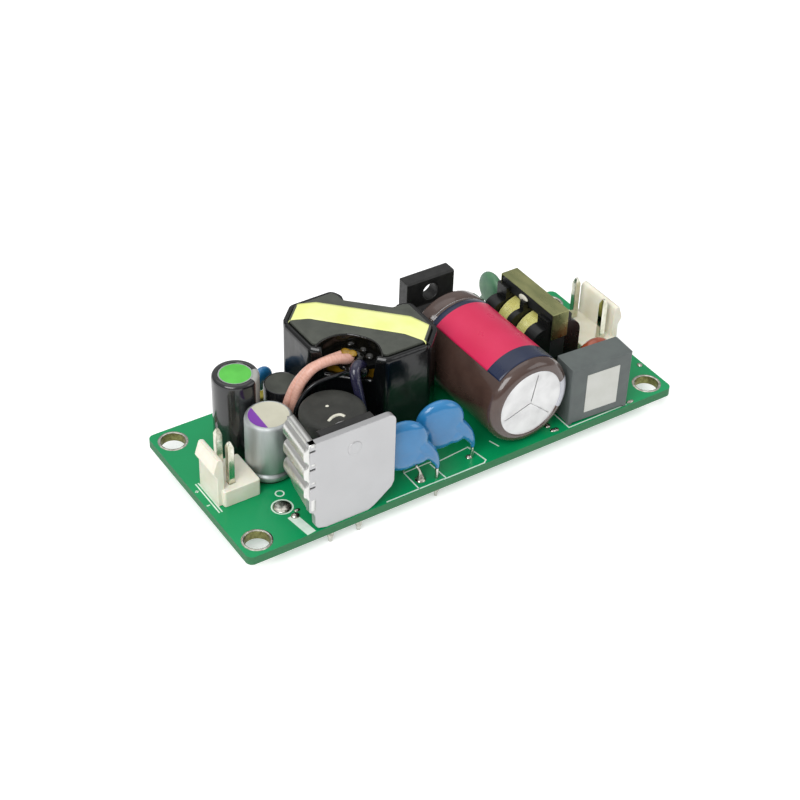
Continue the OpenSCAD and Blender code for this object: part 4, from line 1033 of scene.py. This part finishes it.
dipped = {"varistor": {"at": (32.2, -8.4, 6.7), "d": 7.5, "t": 3.6, "pitch": 5, "drop": .6, "turn": 0,
                       "ink": "red"},
          "thermistor": {"at": (25.5, 14.05, 10.2), "d": 6.8, "t": 2.4, "pitch": 5, "drop": .6, "turn": 90,
                         "ink": "ntc"},
          "blue_cap": {"at": (-22, 15.4, 7.4), "d": 4.6, "t": 2, "pitch": 2.54, "drop": .3, "turn": 15,
                       "ink": "blue"}}
for nodeName, disc in dipped.items():
    d, t, pitch = disc["d"], disc["t"], disc["pitch"]
    parts = [spun(lens(d / 2, t), disc["at"], discSides, disc["turn"], True)]
    for side in (-1, 1):
        points = [(side * (d / 2 - t / 2 - .5), 0, 0), (side * (pitch / 2 - 1.1), 0, -d / 2 + 1.6),
                  (side * (pitch / 2 - .35), 0, -d / 2 + .4), (side * pitch / 2, 0,
                          -d / 2 - disc["drop"] + .6),
                  (side * pitch / 2, 0, -d / 2 - disc["drop"])]
        parts.append(leg(points, [t / 2 - .15, t / 2 - .3, t / 2 - .6, .55, .38], disc["at"], disc["turn"]))
    melted(nodeName.title().replace("_", ""), parts, disc["ink"], 0.14, 7, replaces=nodeName)
print("discs made")

# wound parts: turn beside turn, r = core + crown |sin(pi l / pitch)|
winding = {"at": (26.2, 2.4, 8.2), "radius": 4.9, "pitch": 0.39, "crown": 0.17, "starts": (-4.6, 0.7),
           "length": 3.9}
run = np.linspace(0, winding["length"], 100)
crest = winding["radius"] - winding["crown"] * (1 - np.abs(np.sin(np.pi * run / winding["pitch"])) ** 0.7)
coilProfile = np.vstack([[(0, 0)], np.stack([crest, run], -1), [(0, winding["length"])]])
coils = [spun(coilProfile, (winding["at"][0], winding["at"][1] + start, winding["at"][2]), 72, 0, True)
         for start in winding["starts"]]
pieceFrom("chokeCoils", *joined(coils), "coilWire", replaces="choke_windings", angle=80)

drum = {"at": (-20.9, -6.3), "radius": 5.6, "base": 1.65, "top": 15.0, "edge": 0.9}
shell = np.vstack([[(0, drum["base"]), (5.3, drum["base"]), (5.55, 1.8), (drum["radius"], 2.1)],
                   arcPoints(drum["radius"] - drum["edge"], drum["top"] - drum["edge"], drum["edge"], 0,
                           90, 7),
                   [(3.2, drum["top"]), (2.9, drum["top"] - 0.05), (0, drum["top"] - 0.05)]])
pieceFrom("outputChoke", *spun(shell, (*drum["at"], 0)), "choke", replaces="output_choke", angle=60)
# pale arc and dot on the drum top, and a pale blob over the wound choke's winding: painted highlights
highlightArcPath = smoothPath([(-23.2, -8.7, 14.8), (-21.9, -8.1, 14.88), (-20.7, -8.2, 14.88),
                       (-20.2, -9.0, 14.85)])
melted("paintedHighlightMarks", [tube(highlightArcPath, 0.32, 10), ellipsoid(-21.3, -5.2, 14.93, 0.35, 0.3, 0.15),
                     ellipsoid(24.3, 3.1, 15.1, 0.35, 1.3, 0.7)], "glue", 0.08, 2, slotFrom="output_choke")

bead = {"at": (-22.6, 7.2), "radius": 3.2, "low": 1.8}
shell = [(0, bead["low"]), (3.0, bead["low"]), (bead["radius"], 2.0), (bead["radius"], 11.8),
         (3.12, 12.02), (2.98, 12.06), (2.9, 11.98),
         (2.88, 11.6), (0, 11.5)]
pieceFrom("beadSleeve", *spun(shell, (*bead["at"], 0), 64), "blackFilm", replaces="bead_choke_sleeve",
          angle=50)
print("wound parts made")

# rounded copies of the plain solids
roundings = {
    "output_header": (0.3, 3), "input_header": (0.3, 3), "output_rectifier": (0.2, 3),
    "switch_transistor": (0.2, 3), "film_cap": (0.3, 3),
    "choke_bobbin": (0.25, 3), "choke_core": (0.3, 3), "choke_clip": (0.1, 2),
    "output_pins": (0.1, 2), "input_pins": (0.1, 2), "yellow_cap": (0.3, 3),
}
for nodeName, (width, segments) in roundings.items():
    softened(nodeName.title().replace("_", ""), nodeName, width, segments)
print("edges rounded")
